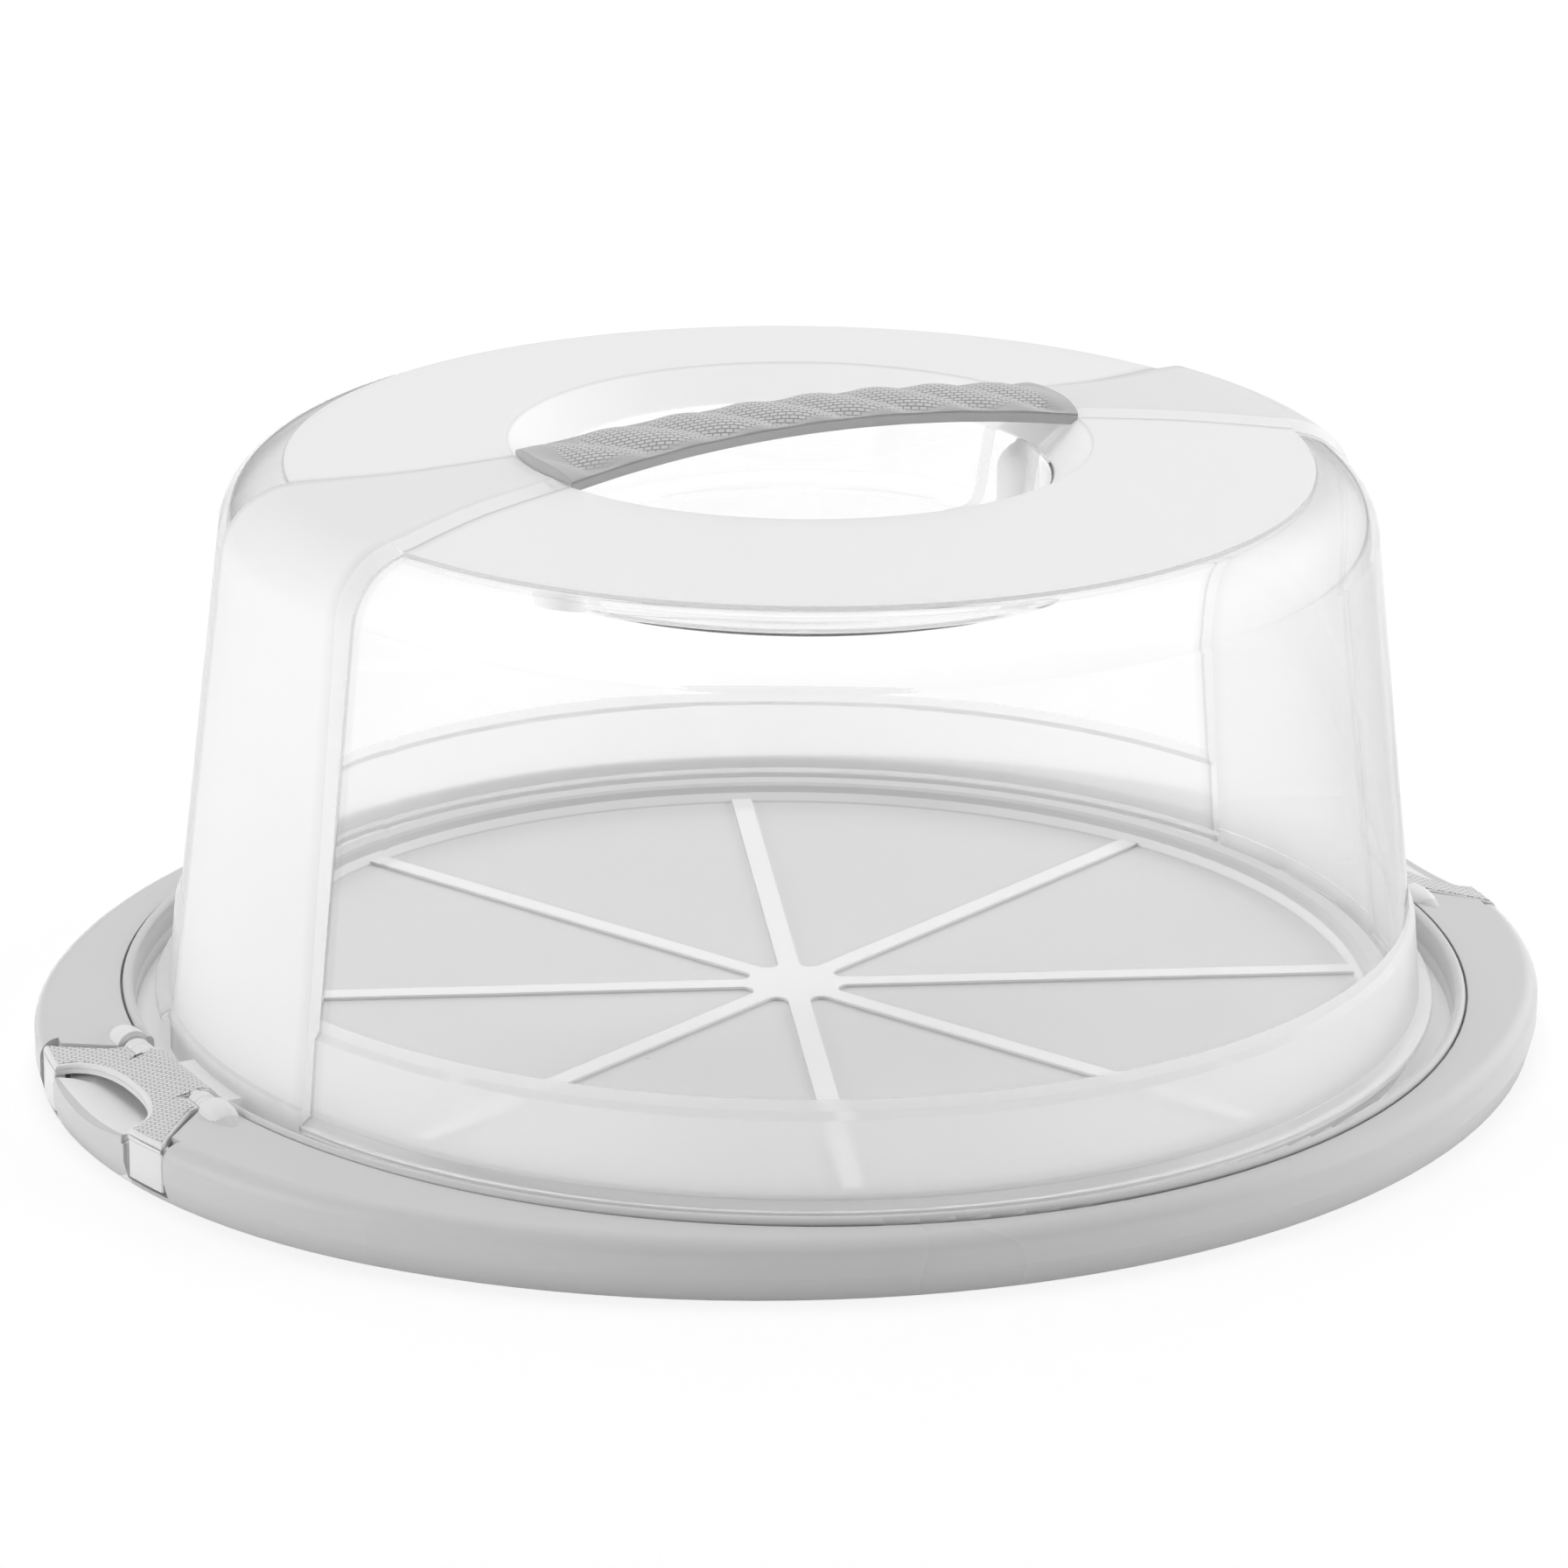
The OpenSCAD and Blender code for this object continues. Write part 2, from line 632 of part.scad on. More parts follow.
// crown of the soft grip: a wide arc over the bar
module grip_crown() {
    crown = (pow(handle_w / 2, 2) + pow(grip_t - 0.6, 2)) / (2 * (grip_t - 0.6));
    translate([0, 0, arch_z]) rotate([90, 0, 0]) rotate([0, 0, 60])
        rotate_extrude(angle = 60, $fn = 360)
            translate([arch_r + bar_t + grip_t - crown, 0]) circle(r = crown, $fn = 180);
}

module handle_grip() {
    color([0.62, 0.62, 0.62]) {
        difference() {
            intersection() {
                translate([0, 0, collar_z]) linear_extrude(height = bowl_depth) handle_plan(0);
                arch_slab(bar_t, 30, handle_w + 10);
                grip_crown();
            }
            // finger grooves run across the grip on the slant
            for (k = [0 : groove_count - 1]) {
                a = (k - (groove_count - 1) / 2) * 2 * handle_end / groove_count / arch_r * 180 / PI;
                translate([0, 0, arch_z]) rotate([0, a, 0])
                    translate([0, 0, arch_r + bar_t + grip_t + groove_r - groove_d])
                        rotate([0, 0, 32]) rotate([90, 0, 0])
                            cylinder(h = 2 * handle_w, r = groove_r, center = true, $fn = 64);
            }
        }
    }
}

// a slab of the latch's plan that slopes down with the plate, between two depths below its top
module latch_slab(z0, z1) {
    translate([pivot_x, 0, plate_top]) rotate([0, plate_drop, 0]) translate([-pivot_x, 0, -z1])
        linear_extrude(height = z1 - z0) children();
}

// one latch in place on the +X side
module latch() {
    difference() {
        union() {
            intersection() {
                latch_slab(0, latch_t) plate_plan(0);
                translate([end_c, 0, 0]) cylinder(h = high, r = leg_r, $fn = 240);
            }
            // legs, following the tray's end
            for (s = [-1, 1]) intersection() {
                translate([leg_x - rim_end / 2, s * (leg_in + leg_out) / 2 - leg_w / 2, leg_foot])
                    cube([rim_end, leg_w, high]);
                translate([end_c, 0, 0]) difference() {
                    cylinder(h = high, r = leg_r, $fn = 240);
                    translate([0, 0, -1]) cylinder(h = high + 2, r = leg_r - leg_t, $fn = 240);
                }
                latch_slab(0, high) square(4 * half_l, center = true);
            }
            // barrel along the hinge
            translate([pivot_x, 0, pivot_z]) rotate([90, 0, 0])
                cylinder(h = barrel_len, r = barrel_r, center = true, $fn = 64);
            // beads round the barrel's ends
            for (s = [-1, 1]) for (k = [0 : 3])
                translate([pivot_x, s * (barrel_len / 2 - 1.1 - k * 1.9), pivot_z]) rotate([90, 0, 0])
                    cylinder(h = 1, r = barrel_r + 0.25, center = true, $fn = 64);
            // hook under the barrel
            translate([pivot_x, 0, pivot_z]) rotate([90, 0, 0])
                linear_extrude(height = nose_w, center = true) intersection() {
                    circle(r = nose_reach, $fn = 96);
                    polygon(nose_reach * [[0, 0], [-1.05, -0.57], [-0.83, -0.98],
                                          [-0.19, -1.11], [0.25, 0]]);
                }
        }
        // pad's pocket
        latch_slab(-2, pad_t) pad_plan(0);
        // the plate stays clear of the dome's wall
        translate([0, 0, pivot_z + 1]) cylinder(h = 10, r = pivot_x - barrel_r + 0.2, $fn = 240);
    }
    // hinge pegs
    translate([pivot_x, 0, pivot_z]) rotate([90, 0, 0])
        cylinder(h = barrel_len + 2 * pin_len, r = pin_r, center = true, $fn = 48);
}

module pad_plan(g) {
    intersection() {
        plate_plan(-pad_border - g);
        translate([pivot_x + barrel_r + 0.8 + g, -60]) square([60, 120]);
        translate([end_c, 0]) circle(r = end_r - 1.6 - pad_border - g, $fn = 240);
    }
}

module latch_pad() {
    latch_slab(-0.1, pad_t) pad_plan(0.05);
}

module latch_left() {
    color([0.88, 0.88, 0.88]) rotate([0, 0, 180]) latch();
}

module latch_right() {
    color([0.88, 0.88, 0.88]) latch();
}

module latch_pad_left() {
    color([0.75, 0.75, 0.75]) rotate([0, 0, 180]) latch_pad();
}

module latch_pad_right() {
    color([0.75, 0.75, 0.75]) latch_pad();
}

tray();
dome();
hand_bowl();
handle_bar();
handle_grip();
latch_left();
latch_pad_left();
latch_right();
latch_pad_right();
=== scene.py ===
# Looks of the cake carrier: clear dome, satin tray, soft grip and latches, in metres in the CAD frame.
import math

import bpy
import numpy as np
from mathutils import Matrix, Vector


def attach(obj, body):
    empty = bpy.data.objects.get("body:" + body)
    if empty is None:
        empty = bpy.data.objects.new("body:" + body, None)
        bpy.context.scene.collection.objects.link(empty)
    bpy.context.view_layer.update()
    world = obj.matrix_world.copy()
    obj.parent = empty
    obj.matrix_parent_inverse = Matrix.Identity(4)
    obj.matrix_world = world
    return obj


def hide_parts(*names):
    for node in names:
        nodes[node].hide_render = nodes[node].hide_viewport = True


mm = 0.001
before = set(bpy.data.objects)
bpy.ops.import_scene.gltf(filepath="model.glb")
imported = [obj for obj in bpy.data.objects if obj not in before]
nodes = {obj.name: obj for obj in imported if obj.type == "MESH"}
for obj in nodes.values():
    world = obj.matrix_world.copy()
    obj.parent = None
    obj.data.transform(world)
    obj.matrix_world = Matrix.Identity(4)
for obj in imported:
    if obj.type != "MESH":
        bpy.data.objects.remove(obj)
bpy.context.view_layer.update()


# helpers

def colour(hexText):
    parts = [int(hexText[i:i + 2], 16) / 255 for i in (1, 3, 5)]
    return [p / 12.92 if p <= 0.04045 else ((p + 0.055) / 1.055) ** 2.4 for p in parts] + [1]


def addNode(tree, kind, settings=None, links=None):
    node = tree.nodes.new(kind)
    for name, value in (settings or {}).items():
        if isinstance(name, int) or name in node.inputs:
            node.inputs[name].default_value = value
        else:
            setattr(node, name, value)
    for name, source in (links or {}).items():
        tree.links.new(source, node.inputs[name])
    return node


def newMaterial(name):
    material = bpy.data.materials.new(name)
    material.use_nodes = True
    material.node_tree.nodes.clear()
    return material, material.node_tree


def giveMaterial(obj, material):
    obj.data.materials.clear()
    obj.data.materials.append(material)
    obj.data.polygons.foreach_set("material_index", [0] * len(obj.data.polygons))


def gridMesh(rows, closed=True):
    # rows of points in mm, joined to their neighbours; closed rows join round
    rows = np.asarray(rows, float)
    count, cols = rows.shape[:2]
    index = np.arange(count * cols).reshape(count, cols)
    after = np.roll(index, -1, axis=1)
    last = cols if closed else cols - 1
    quads = np.stack([index[:-1, :last], after[:-1, :last], after[1:, :last], index[1:, :last]], axis=-1)
    return rows.reshape(-1, 3), quads.reshape(-1, 4).tolist()


def makeObject(name, points, faces, sharpAngle=32, marks=None):
    mesh = bpy.data.meshes.new(name)
    mesh.from_pydata((np.asarray(points) * mm).tolist(), [], [list(map(int, f)) for f in faces])
    for label, values in (marks or {}).items():
        mesh.attributes.new(label, "FLOAT", "POINT").data.foreach_set("value", np.asarray(values, np.float32))
    mesh.shade_smooth()
    mesh.set_sharp_from_angle(angle=math.radians(sharpAngle))
    obj = bpy.data.objects.new(name, mesh)
    bpy.context.scene.collection.objects.link(obj)
    return obj


# dome

dome = {
    "wallAtFoot": 141.5, "footTop": 14.7, "lean": 0.1155, "wall": 2.0,
    "footZ": 6.3, "bandZ": 33.0, "bandOut": 1.1, "flangeR": 145.3,
    "crownR": 114.5, "crownZ": 135.2, "crownStep": 0.8, "crownSlope": 5.0, "shoulderR": 15.5,
    "mouthR": 65.2, "collarDrop": 7.8, "bowlR": 56.0, "bowlDepth": 25.5,
    "strapAngle": 15.0, "strapOut": 1.5, "strapTop": 1.3,
    "bevelAtTop": 4.2, "bevelAtFoot": 1.8, "strapInner": 40,
}


def wallRadius(z):
    return dome["wallAtFoot"] - (z - dome["footTop"]) * dome["lean"]


def crownHeight(r):
    return dome["crownZ"] + (dome["crownR"] - r) * math.tan(math.radians(dome["crownSlope"]))


def cornerOf(radius, wallMove, crownMove):
    # centre of the arc that touches the wall line and the crown line, each moved out
    tilt = math.atan(dome["lean"])
    slope = math.radians(dome["crownSlope"])
    wallN = np.array([math.cos(tilt), math.sin(tilt)])
    crownN = np.array([math.sin(slope), math.cos(slope)])
    p = wallN @ [dome["wallAtFoot"], dome["footTop"]] + wallMove - radius
    q = crownN @ [dome["crownR"], dome["crownZ"]] + crownMove - radius
    centre = np.linalg.solve(np.array([wallN, crownN]), [p, q])
    return centre, tilt, math.pi / 2 - slope


def spread(a, b, count):
    a, b = np.asarray(a, float), np.asarray(b, float)
    return a + (b - a) * np.linspace(0, 1, count)[:, None]


def bend(centre, radius, start, end, count):
    angles = np.linspace(start, end, count)
    return np.stack([centre[0] + radius * np.cos(angles), centre[1] + radius * np.sin(angles)], axis=1)


def roundCorners(points, radii, steps=7):
    points = [np.asarray(p, float) for p in points]
    out = [points[0]]
    for i in range(1, len(points) - 1):
        p, c, n = points[i - 1], points[i], points[i + 1]
        u, v = (p - c) / np.linalg.norm(p - c), (n - c) / np.linalg.norm(n - c)
        half = math.acos(max(-1, min(1, float(u @ v)))) / 2
        if radii[i] <= 0:
            out.append(c)
            continue
        back = min(radii[i] / math.tan(half), 0.49 * np.linalg.norm(p - c), 0.49 * np.linalg.norm(n - c))
        for t in np.linspace(0, 1, steps):
            a, b = c + u * back * (1 - t), c + v * back * t
            out.append((1 - t) * a + t * b)
    out.append(points[-1])
    return np.array(out)


# across a strap's bevel: place along it, and how much of the strap's height is reached there
bevelAt = np.array([0, 0.07, 0.2, 0.5, 0.8, 0.93, 1.0])
bevelLift = np.array([0, 0.05, 0.19, 0.5, 0.81, 0.95, 1.0])


# half width of a strap on the crown, by distance from the dome's middle
neckR = [50, 62, 66, 77, 88, 94, 100, 105, 110, 117, 121]
neckHalf = [12.0, 13.2, 13.7, 15.9, 18.5, 20.6, 23.1, 25.2, 27.6, 30.25, 31.32]
# width of a strap's bevel, by height
bevelZ = [14, 40, 118, 127]
bevelWide = [dome["bevelAtFoot"], 2.0, 3.8, dome["bevelAtTop"]]


def strapHalfAngle(r):
    # the straps keep one angle on the wall and narrow towards the handle on the crown
    if r >= neckR[-1]:
        return math.radians(dome["strapAngle"])
    return math.asin(np.interp(r, neckR, neckHalf) / r)


def columnAngles(r, z):
    # one quarter of the ring, from the strap's middle to the window's middle, its lines following the strap
    r = max(r, dome["strapInner"])
    edge = strapHalfAngle(r)
    bevel = np.interp(z, bevelZ, bevelWide) / r
    flat = np.linspace(0, edge - bevel, 9)[:-1]
    slant = edge - bevel * bevelAt[::-1]
    far = edge + (math.pi / 2 - edge) * np.concatenate([[0.003, 0.006, 0.02, 0.05], np.linspace(0.08, 1, 90)])
    quarter = np.concatenate([flat, slant, far])
    lift = np.concatenate([np.ones(len(flat)), bevelLift[::-1], np.zeros(len(far))])
    # painted shade: thin dark lines drawn where the bevel meets the strap's top and where it meets the wall
    line = np.concatenate([np.zeros(len(flat)), [0.35], np.zeros(len(slant) - 2), [0.8, 0.8, 0.3],
                           np.zeros(len(far) - 2)])
    angles = np.concatenate([quarter, (math.pi - quarter)[::-1][1:]])
    angles = np.concatenate([angles[:-1], angles[:-1] + math.pi])
    return [angles] + [np.tile(np.concatenate([v, v[::-1][1:]])[:-1], 2) for v in (lift, line)]


# finish of each zone of the shell: how frosted, how milky, and how much painted shade it is drawn with (dark lines, a
# darker tone);
# a painted shade below 0 also takes away the painted dark edge where the surface turns away
zones = {"window": (0.0, 0.0, 0.0), "band": (0.5, 0.46, 0.0),
         "crown": (1.0, 0.86, 0.0), "riser": (0.5, 0.5, 0.8),
         "lip": (1.0, 0.84, 0.45), "collar": (0.9, 0.8, 0.0), "bowl": (0.0, 0.0, -1.0),
         "strap": (0.85, 0.7, 0.12), "bevel": (0.6, 0.5, 0.0), "inside": (0.0, 0.0, 0.0)}


def domeOuterPath():
    # rows of (section point, the point that a strap lifts it to, zone), from the foot to the bowl's floor
    c0, a0, a1 = cornerOf(dome["shoulderR"], 0, -dome["crownStep"])
    cs, b0, b1 = cornerOf(dome["shoulderR"] + dome["strapOut"], dome["strapOut"], dome["strapTop"])
    footTop, bandZ, out = dome["footTop"], dome["bandZ"], dome["bandOut"]
    crownR, mouthR, flangeR = dome["crownR"], dome["mouthR"], dome["flangeR"]
    mouthZ = crownHeight(mouthR)
    collarZ, floorZ = mouthZ - dome["collarDrop"], mouthZ - dome["bowlDepth"]
    tilt, slope = math.atan(dome["lean"]), math.radians(dome["crownSlope"])
    rise = np.array([math.cos(tilt), math.sin(tilt)]) * dome["strapOut"]
    rows = []

    def add(points, zone, lifted=None):
        for i, p in enumerate(points):
            rows.append((p, p if lifted is None else lifted[i], zone))

    foot = roundCorners([[140.4, 6.3], [142.25, 6.3], [142.1, 11.7], [flangeR, 11.8], [flangeR, 13.3],
                         [142.0, footTop + 0.2], [142.1, 15.6]], [0, 0.4, 0.3, 0.5, 0.7, 0.5, 0], steps=6)
    add(foot, "band", [[r if z < 6.4 and r < 141 else 143.7 - (z - 6.3) * 0.02, z] for r, z in foot])
    bandTop = roundCorners([[142.0, 16.2], [wallRadius(bandZ - 1) + out, bandZ - 1],
                            [wallRadius(bandZ + 0.5), bandZ + 0.5], [wallRadius(bandZ + 3), bandZ + 3]],
                           [0, 0.8, 0.8, 0], steps=7)
    lower = spread([142.05, 16.0], bandTop[1], 8)[:-1]
    for part in (lower, bandTop[1:]):
        add(part, "band", [np.array([wallRadius(z), z]) + rise for r, z in part])
    wallEnd = c0 + dome["shoulderR"] * np.array([math.cos(a0), math.sin(a0)])
    wall = spread([wallRadius(bandZ + 3.2), bandZ + 3.2], wallEnd, 26)[:-1]
    add(wall, "window", wall + rise)
    shoulder = bend(c0, dome["shoulderR"], a0, a1, 40)
    add(shoulder, "window", bend(cs, dome["shoulderR"] + dome["strapOut"], b0, b1, 40))
    edge = [crownR, crownHeight(crownR)]
    riser = np.array([[crownR + 0.05, edge[1] - dome["crownStep"]], [crownR, edge[1] - 0.05]])
    add(riser, "riser", [[r, crownHeight(r) + dome["strapTop"]] for r, z in riser])
    crown = spread([crownR - 0.1, crownHeight(crownR - 0.1)], [mouthR + 2.0, crownHeight(mouthR + 2.0)], 70)
    add(crown, "crown", [[r, z + dome["strapTop"] / math.cos(slope)] for r, z in crown])
    mouth = roundCorners([[mouthR + 1.6, crownHeight(mouthR + 1.6)], [mouthR, mouthZ], [dome["bowlR"], collarZ]],
                         [0, 0.7, 0], steps=7)
    share = np.clip((mouth[:, 0] - mouthR + 0.4) / 2.0, 0, 1)[:, None]
    raised = mouth + share * [0, dome["strapTop"]]
    add(mouth[:4], "crown", raised[:4])
    add(mouth[4:-1], "lip", raised[4:-1])
    add(spread(mouth[-2] + (mouth[-1] - mouth[-2]) * 0.06, mouth[-2] + (mouth[-1] - mouth[-2]) * 0.9, 8), "collar")
    bowl = roundCorners([mouth[-2], [dome["bowlR"], collarZ], [dome["bowlR"] - 3, floorZ], [20, floorZ]],
                        [0, 1.4, 5, 0], steps=10)
    add(bowl[1:], "bowl")
    add([[6, floorZ]], "bowl")
    return rows


def domeInnerPath():
    w = dome["wall"]
    c1, a0, a1 = cornerOf(dome["shoulderR"] - w, -w, -dome["crownStep"] - w)
    mouthR = dome["mouthR"]
    mouthZ = crownHeight(mouthR)
    collarZ, floorZ = mouthZ - dome["collarDrop"], mouthZ - dome["bowlDepth"]
    wallEnd = c1 + (dome["shoulderR"] - w) * np.array([math.cos(a0), math.sin(a0)])
    wall = spread([wallRadius(dome["footZ"] + 1) - w, dome["footZ"] + 1], wallEnd, 36)
    shoulder = bend(c1, dome["shoulderR"] - w, a0, a1, 24)[1:]

    def under(r):
        return crownHeight(r) - dome["crownStep"] - w

    bowl = roundCorners([[112, under(112)], [mouthR + 1.4, under(mouthR + 1.4)], [dome["bowlR"] + w, collarZ - 0.8],
                         [dome["bowlR"] - 3 + w, floorZ - w], [6, floorZ - w]], [0, 2, 2.2, 6, 0], steps=10)
    return np.concatenate([[[140.4, dome["footZ"]]], wall, shoulder, bowl])


def buildDome():
    points, marks = [], []
    for (r, z), (rs, zs), zone in domeOuterPath():
        angles, lift, line = columnAngles(r, z)
        strap = zones["strap"] if zone not in ("lip", "collar", "bowl") else zones[zone]
        rr, zz = r + (rs - r) * lift, z + (zs - z) * lift
        points.append(np.stack([rr * np.cos(angles), rr * np.sin(angles), zz], axis=1))
        onStrap = np.clip(lift * 8, 0, 1)[:, None]
        mark = np.array(zones[zone]) * (1 - onStrap) + np.array(strap) * onStrap
        mark[(lift > 0.02) & (lift < 0.98)] = zones["bevel"]
        if zone in ("window", "crown", "band"):
            mark[:, 2] = np.maximum(mark[:, 2], line)
        marks.append(mark)
    outerCount = len(points)
    for r, z in domeInnerPath()[::-1]:
        angles = columnAngles(r, z)[0]
        points.append(np.stack([r * np.cos(angles), r * np.sin(angles), np.full_like(angles, z)], axis=1))
        marks.append(np.tile(zones["bowl" if r < dome["mouthR"] else "inside"], (len(angles), 1)))
    rowCount, cols = len(points), len(points[0])
    flat, faces = gridMesh(points)
    ring = np.arange(cols)
    after = (ring + 1) % cols
    faces = [f for i, f in enumerate(faces) if i // cols != outerCount - 1]
    low = (rowCount - 1) * cols
    faces += np.stack([low + ring, low + after, after, ring], axis=1).tolist()
    # the bowl's floor is closed on its upper and under sides
    top, under = len(flat), len(flat) + 1
    a, b = (outerCount - 1) * cols, outerCount * cols
    faces += np.stack([a + ring, a + after, np.full(cols, top)], axis=1).tolist()
    faces += np.stack([b + after, b + ring, np.full(cols, under)], axis=1).tolist()
    flat = np.concatenate([flat, [[0, 0, points[outerCount - 1][0][2]], [0, 0, points[outerCount][0][2]]]])
    marks = np.concatenate([np.concatenate(marks), [zones["bowl"], zones["inside"]]])
    return makeObject("domeShell", flat, faces, 38, {"frost": marks[:, 0], "milk": marks[:, 1], "line": marks[:, 2]})


print("stage: dome")
domeShell = buildDome()
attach(domeShell, "dome")
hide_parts("dome", "hand_bowl")


# heels that the latches hook over, and bosses for the grip's pegs

heel = {"halfWidth": 13.0, "inner": 141.0, "outer": 149.4, "foot": 6.3, "top": 11.7,
        "pivot": (153.4, 12.4), "room": 6.7, "arcEnd": (-4.0, -6.1),
        "bossX": 57.8, "bossR": 6.0, "bossFoot": 113.6, "bossTop": 125.0}


def buildHeels():
    px, pz = heel["pivot"]
    start, end = math.atan2(heel["top"] - pz, -heel["room"]), math.atan2(*heel["arcEnd"][::-1])
    arc = bend((px, pz), heel["room"], start % (2 * math.pi), end % (2 * math.pi), 12)
    section = np.concatenate([[[heel["inner"], heel["foot"]], [heel["inner"], heel["top"]]], arc,
                              [[heel["outer"], heel["foot"]]]])
    section = section[section[:, 0] <= heel["outer"] + 1e-6]
    points, faces = [], []
    for side in (-1, 1):
        base = len(points)
        for y in (-heel["halfWidth"], heel["halfWidth"]):
            points += [[side * x, y, z] for x, z in section]
        n = len(section)
        faces += [[base + i, base + (i + 1) % n, base + n + (i + 1) % n, base + n + i] for i in range(n)]
        faces += [[base + i for i in range(n)], [base + n + i for i in range(n)]]
    full = np.array(points)
    marks = {"frost": [0.85] * len(full), "milk": [0.8] * len(full), "line": [0.0] * len(full)}
    return makeObject("strapHeels", full, faces, 30, marks)


def buildBosses():
    # bullet-shaped bulges on the bowl's wall that take the grip's pegs
    points, faces = [], []
    turns = np.linspace(0, 2 * math.pi, 65)[:-1]
    tip = np.radians(np.linspace(0, 86, 14))
    section = [(heel["bossR"], heel["bossFoot"]), (heel["bossR"], heel["bossTop"] - 3)]
    section += [(heel["bossR"] * math.cos(t), heel["bossTop"] + heel["bossR"] * math.sin(t)) for t in tip]
    for side in (-1, 1):
        rows = [np.stack([side * heel["bossX"] + r * np.cos(turns), r * np.sin(turns), np.full(64, z)], axis=1)
                for r, z in section]
        flat, quads = gridMesh(rows)
        base = len(points)
        points += flat.tolist()
        faces += [[base + i for i in quad] for quad in quads]
        faces += [[base + i for i in range(63, -1, -1)], [base + (len(rows) - 1) * 64 + i for i in range(64)]]
    marks = {"frost": [0.9] * len(points), "milk": [0.95] * len(points), "line": [0.0] * len(points)}
    return makeObject("pegBosses", points, faces, 40, marks)


# handle: a rigid arched bar with sloping flanks, and a soft lens-shaped grip with lobes for the fingers

grip = {"end": 65.0, "foot": 137.1, "rise": 5.25, "bar": 2.8, "height": 2.6, "edge": 0.3,
        "waist": 20.0, "width": 28.0, "pitch": 16.3, "shift": 2.0, "depth": 2.3, "slant": 32.0, "flank": 0.6}


def gripUnderside(x):
    radius = (grip["end"] ** 2 + grip["rise"] ** 2) / (2 * grip["rise"])
    return grip["foot"] + grip["rise"] - radius + np.sqrt(radius ** 2 - x ** 2)


def gripHalfWidth(x):
    neck = (grip["end"] ** 2 + ((grip["width"] - grip["waist"]) / 2) ** 2) / (grip["width"] - grip["waist"])
    return grip["waist"] / 2 + neck - np.sqrt(neck ** 2 - x ** 2)


def closeSheets(upper, lower):
    # joins an upper and a lower sheet of the same grid round their rim
    flat, faces = gridMesh(upper, closed=False)
    under, underFaces = gridMesh(lower, closed=False)
    n = len(flat)
    faces = faces + [[n + i for i in face[::-1]] for face in underFaces]
    index = np.arange(n).reshape(len(upper), -1)
    rim = np.concatenate([index[:-1, 0], index[-1, :-1], index[:0:-1, -1], index[0, :0:-1]])
    after = np.roll(rim, -1)
    faces += np.stack([rim + n, after + n, after, rim], axis=1).tolist()
    return np.concatenate([flat, under]), faces


def handleSheet(across, inset):
    # points of the handle's plan, row by row along it, drawn in from its edge by inset
    for u in np.linspace(-1, 1, 301):
        y = across * (gripHalfWidth(abs(u) * grip["end"]) - inset)
        x = u * (np.sqrt(grip["end"] ** 2 - y ** 2) - inset * 0.3)
        yield u, x, y


def buildGrip():
    across = np.sin(np.linspace(-1, 1, 61) * math.pi / 2)
    upper, lower, texture = [], [], []
    for u, x, y in handleSheet(across, 0.02):
        seat = gripUnderside(x) + grip["bar"]
        phase = (x + y * math.tan(math.radians(grip["slant"])) - grip["shift"]) / grip["pitch"] + 0.5
        # rounded lobes that meet in soft valleys
        wave = np.abs(np.cos(phase * math.pi))
        valley = 1 - np.sqrt(wave ** 2 + 0.03) / math.sqrt(1.03)
        fade = np.clip((1 - np.abs(across)) / 0.12, 0, 1) * np.clip((1 - abs(u)) / 0.1, 0, 1)
        crown = grip["edge"] + (grip["height"] - grip["edge"]) * (1 - np.abs(across) ** 3) ** 0.8
        cut = np.minimum(grip["depth"] * valley * fade, crown - 0.6 * grip["edge"])
        upper.append(np.stack([x, y, seat + crown - cut], axis=1))
        lower.append(np.stack([x, y, seat + 0.02], axis=1))
        border = (1 - np.abs(across)) * 12 / (1.5 + 3 * abs(u) ** 4)
        texture.append(np.clip(border - 0.5, 0, 1) * np.clip((0.94 - abs(u)) / 0.04, 0, 1))
    points, faces = closeSheets(upper, lower)
    values = np.concatenate([np.concatenate(texture), np.zeros(len(points) // 2)])
    return makeObject("softGrip", points, faces, 50, {"texture": values})


def buildBar():
    across = np.linspace(-1, 1, 25)
    upper = [np.stack([x, y, gripUnderside(x) + grip["bar"]], axis=1) for u, x, y in handleSheet(across, 0)]
    lower = []
    for u, x, y in handleSheet(across, grip["flank"]):
        # hollowed a little beneath, with a rounded edge
        sag = 0.5 * np.clip((np.abs(across) - 0.8) / 0.2, 0, 1) ** 2
        lower.append(np.stack([x, y, gripUnderside(x) + sag], axis=1))
    points, faces = closeSheets(upper, lower)
    return makeObject("handleBar", points, faces, 35)


print("stage: heels, bosses and grip")
heels = buildHeels()
bosses = buildBosses()
softGrip, handleBar = buildGrip(), buildBar()
for piece, slotName in ((heels, "dome"), (bosses, "dome"), (softGrip, "handle_grip"), (handleBar, "handle_bar")):
    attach(piece, "dome")
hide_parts("handle_grip")
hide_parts("handle_bar")


# latches: a waisted plate with a round finger arch, two legs down the tray's side, a ribbed hinge barrel and a hook

latch = {"x": 153.4, "z": 12.4, "barrelR": 3.1, "barrelHalf": 21.5, "pegR": 1.6, "pegEnd": 26.4, "beads": 4,
         "beadPitch": 1.9, "inner": 148.4, "top": 15.0, "slope": 0.1234, "thick": 2.1, "archHalf": 20.6,
         "archApex": 163.0, "archFoot": 175.0, "legIn": 21.0, "legOut": 33.4, "endX": 33.0, "endR": 141.4,
         "foot": 1.8, "legThick": 2.6, "hookR": 6.3, "hookHalf": 12.0, "endGap": 0.06,
         "plateLift": -0.12, "plateFillet": 0.9, "padInset": 1.0, "padLift": 0.1, "padThick": 0.8, "padFillet": 0.3,
         "capR": 4.0, "capStart": 24.5, "capEnd": 31.5, "capRise": 0.5}
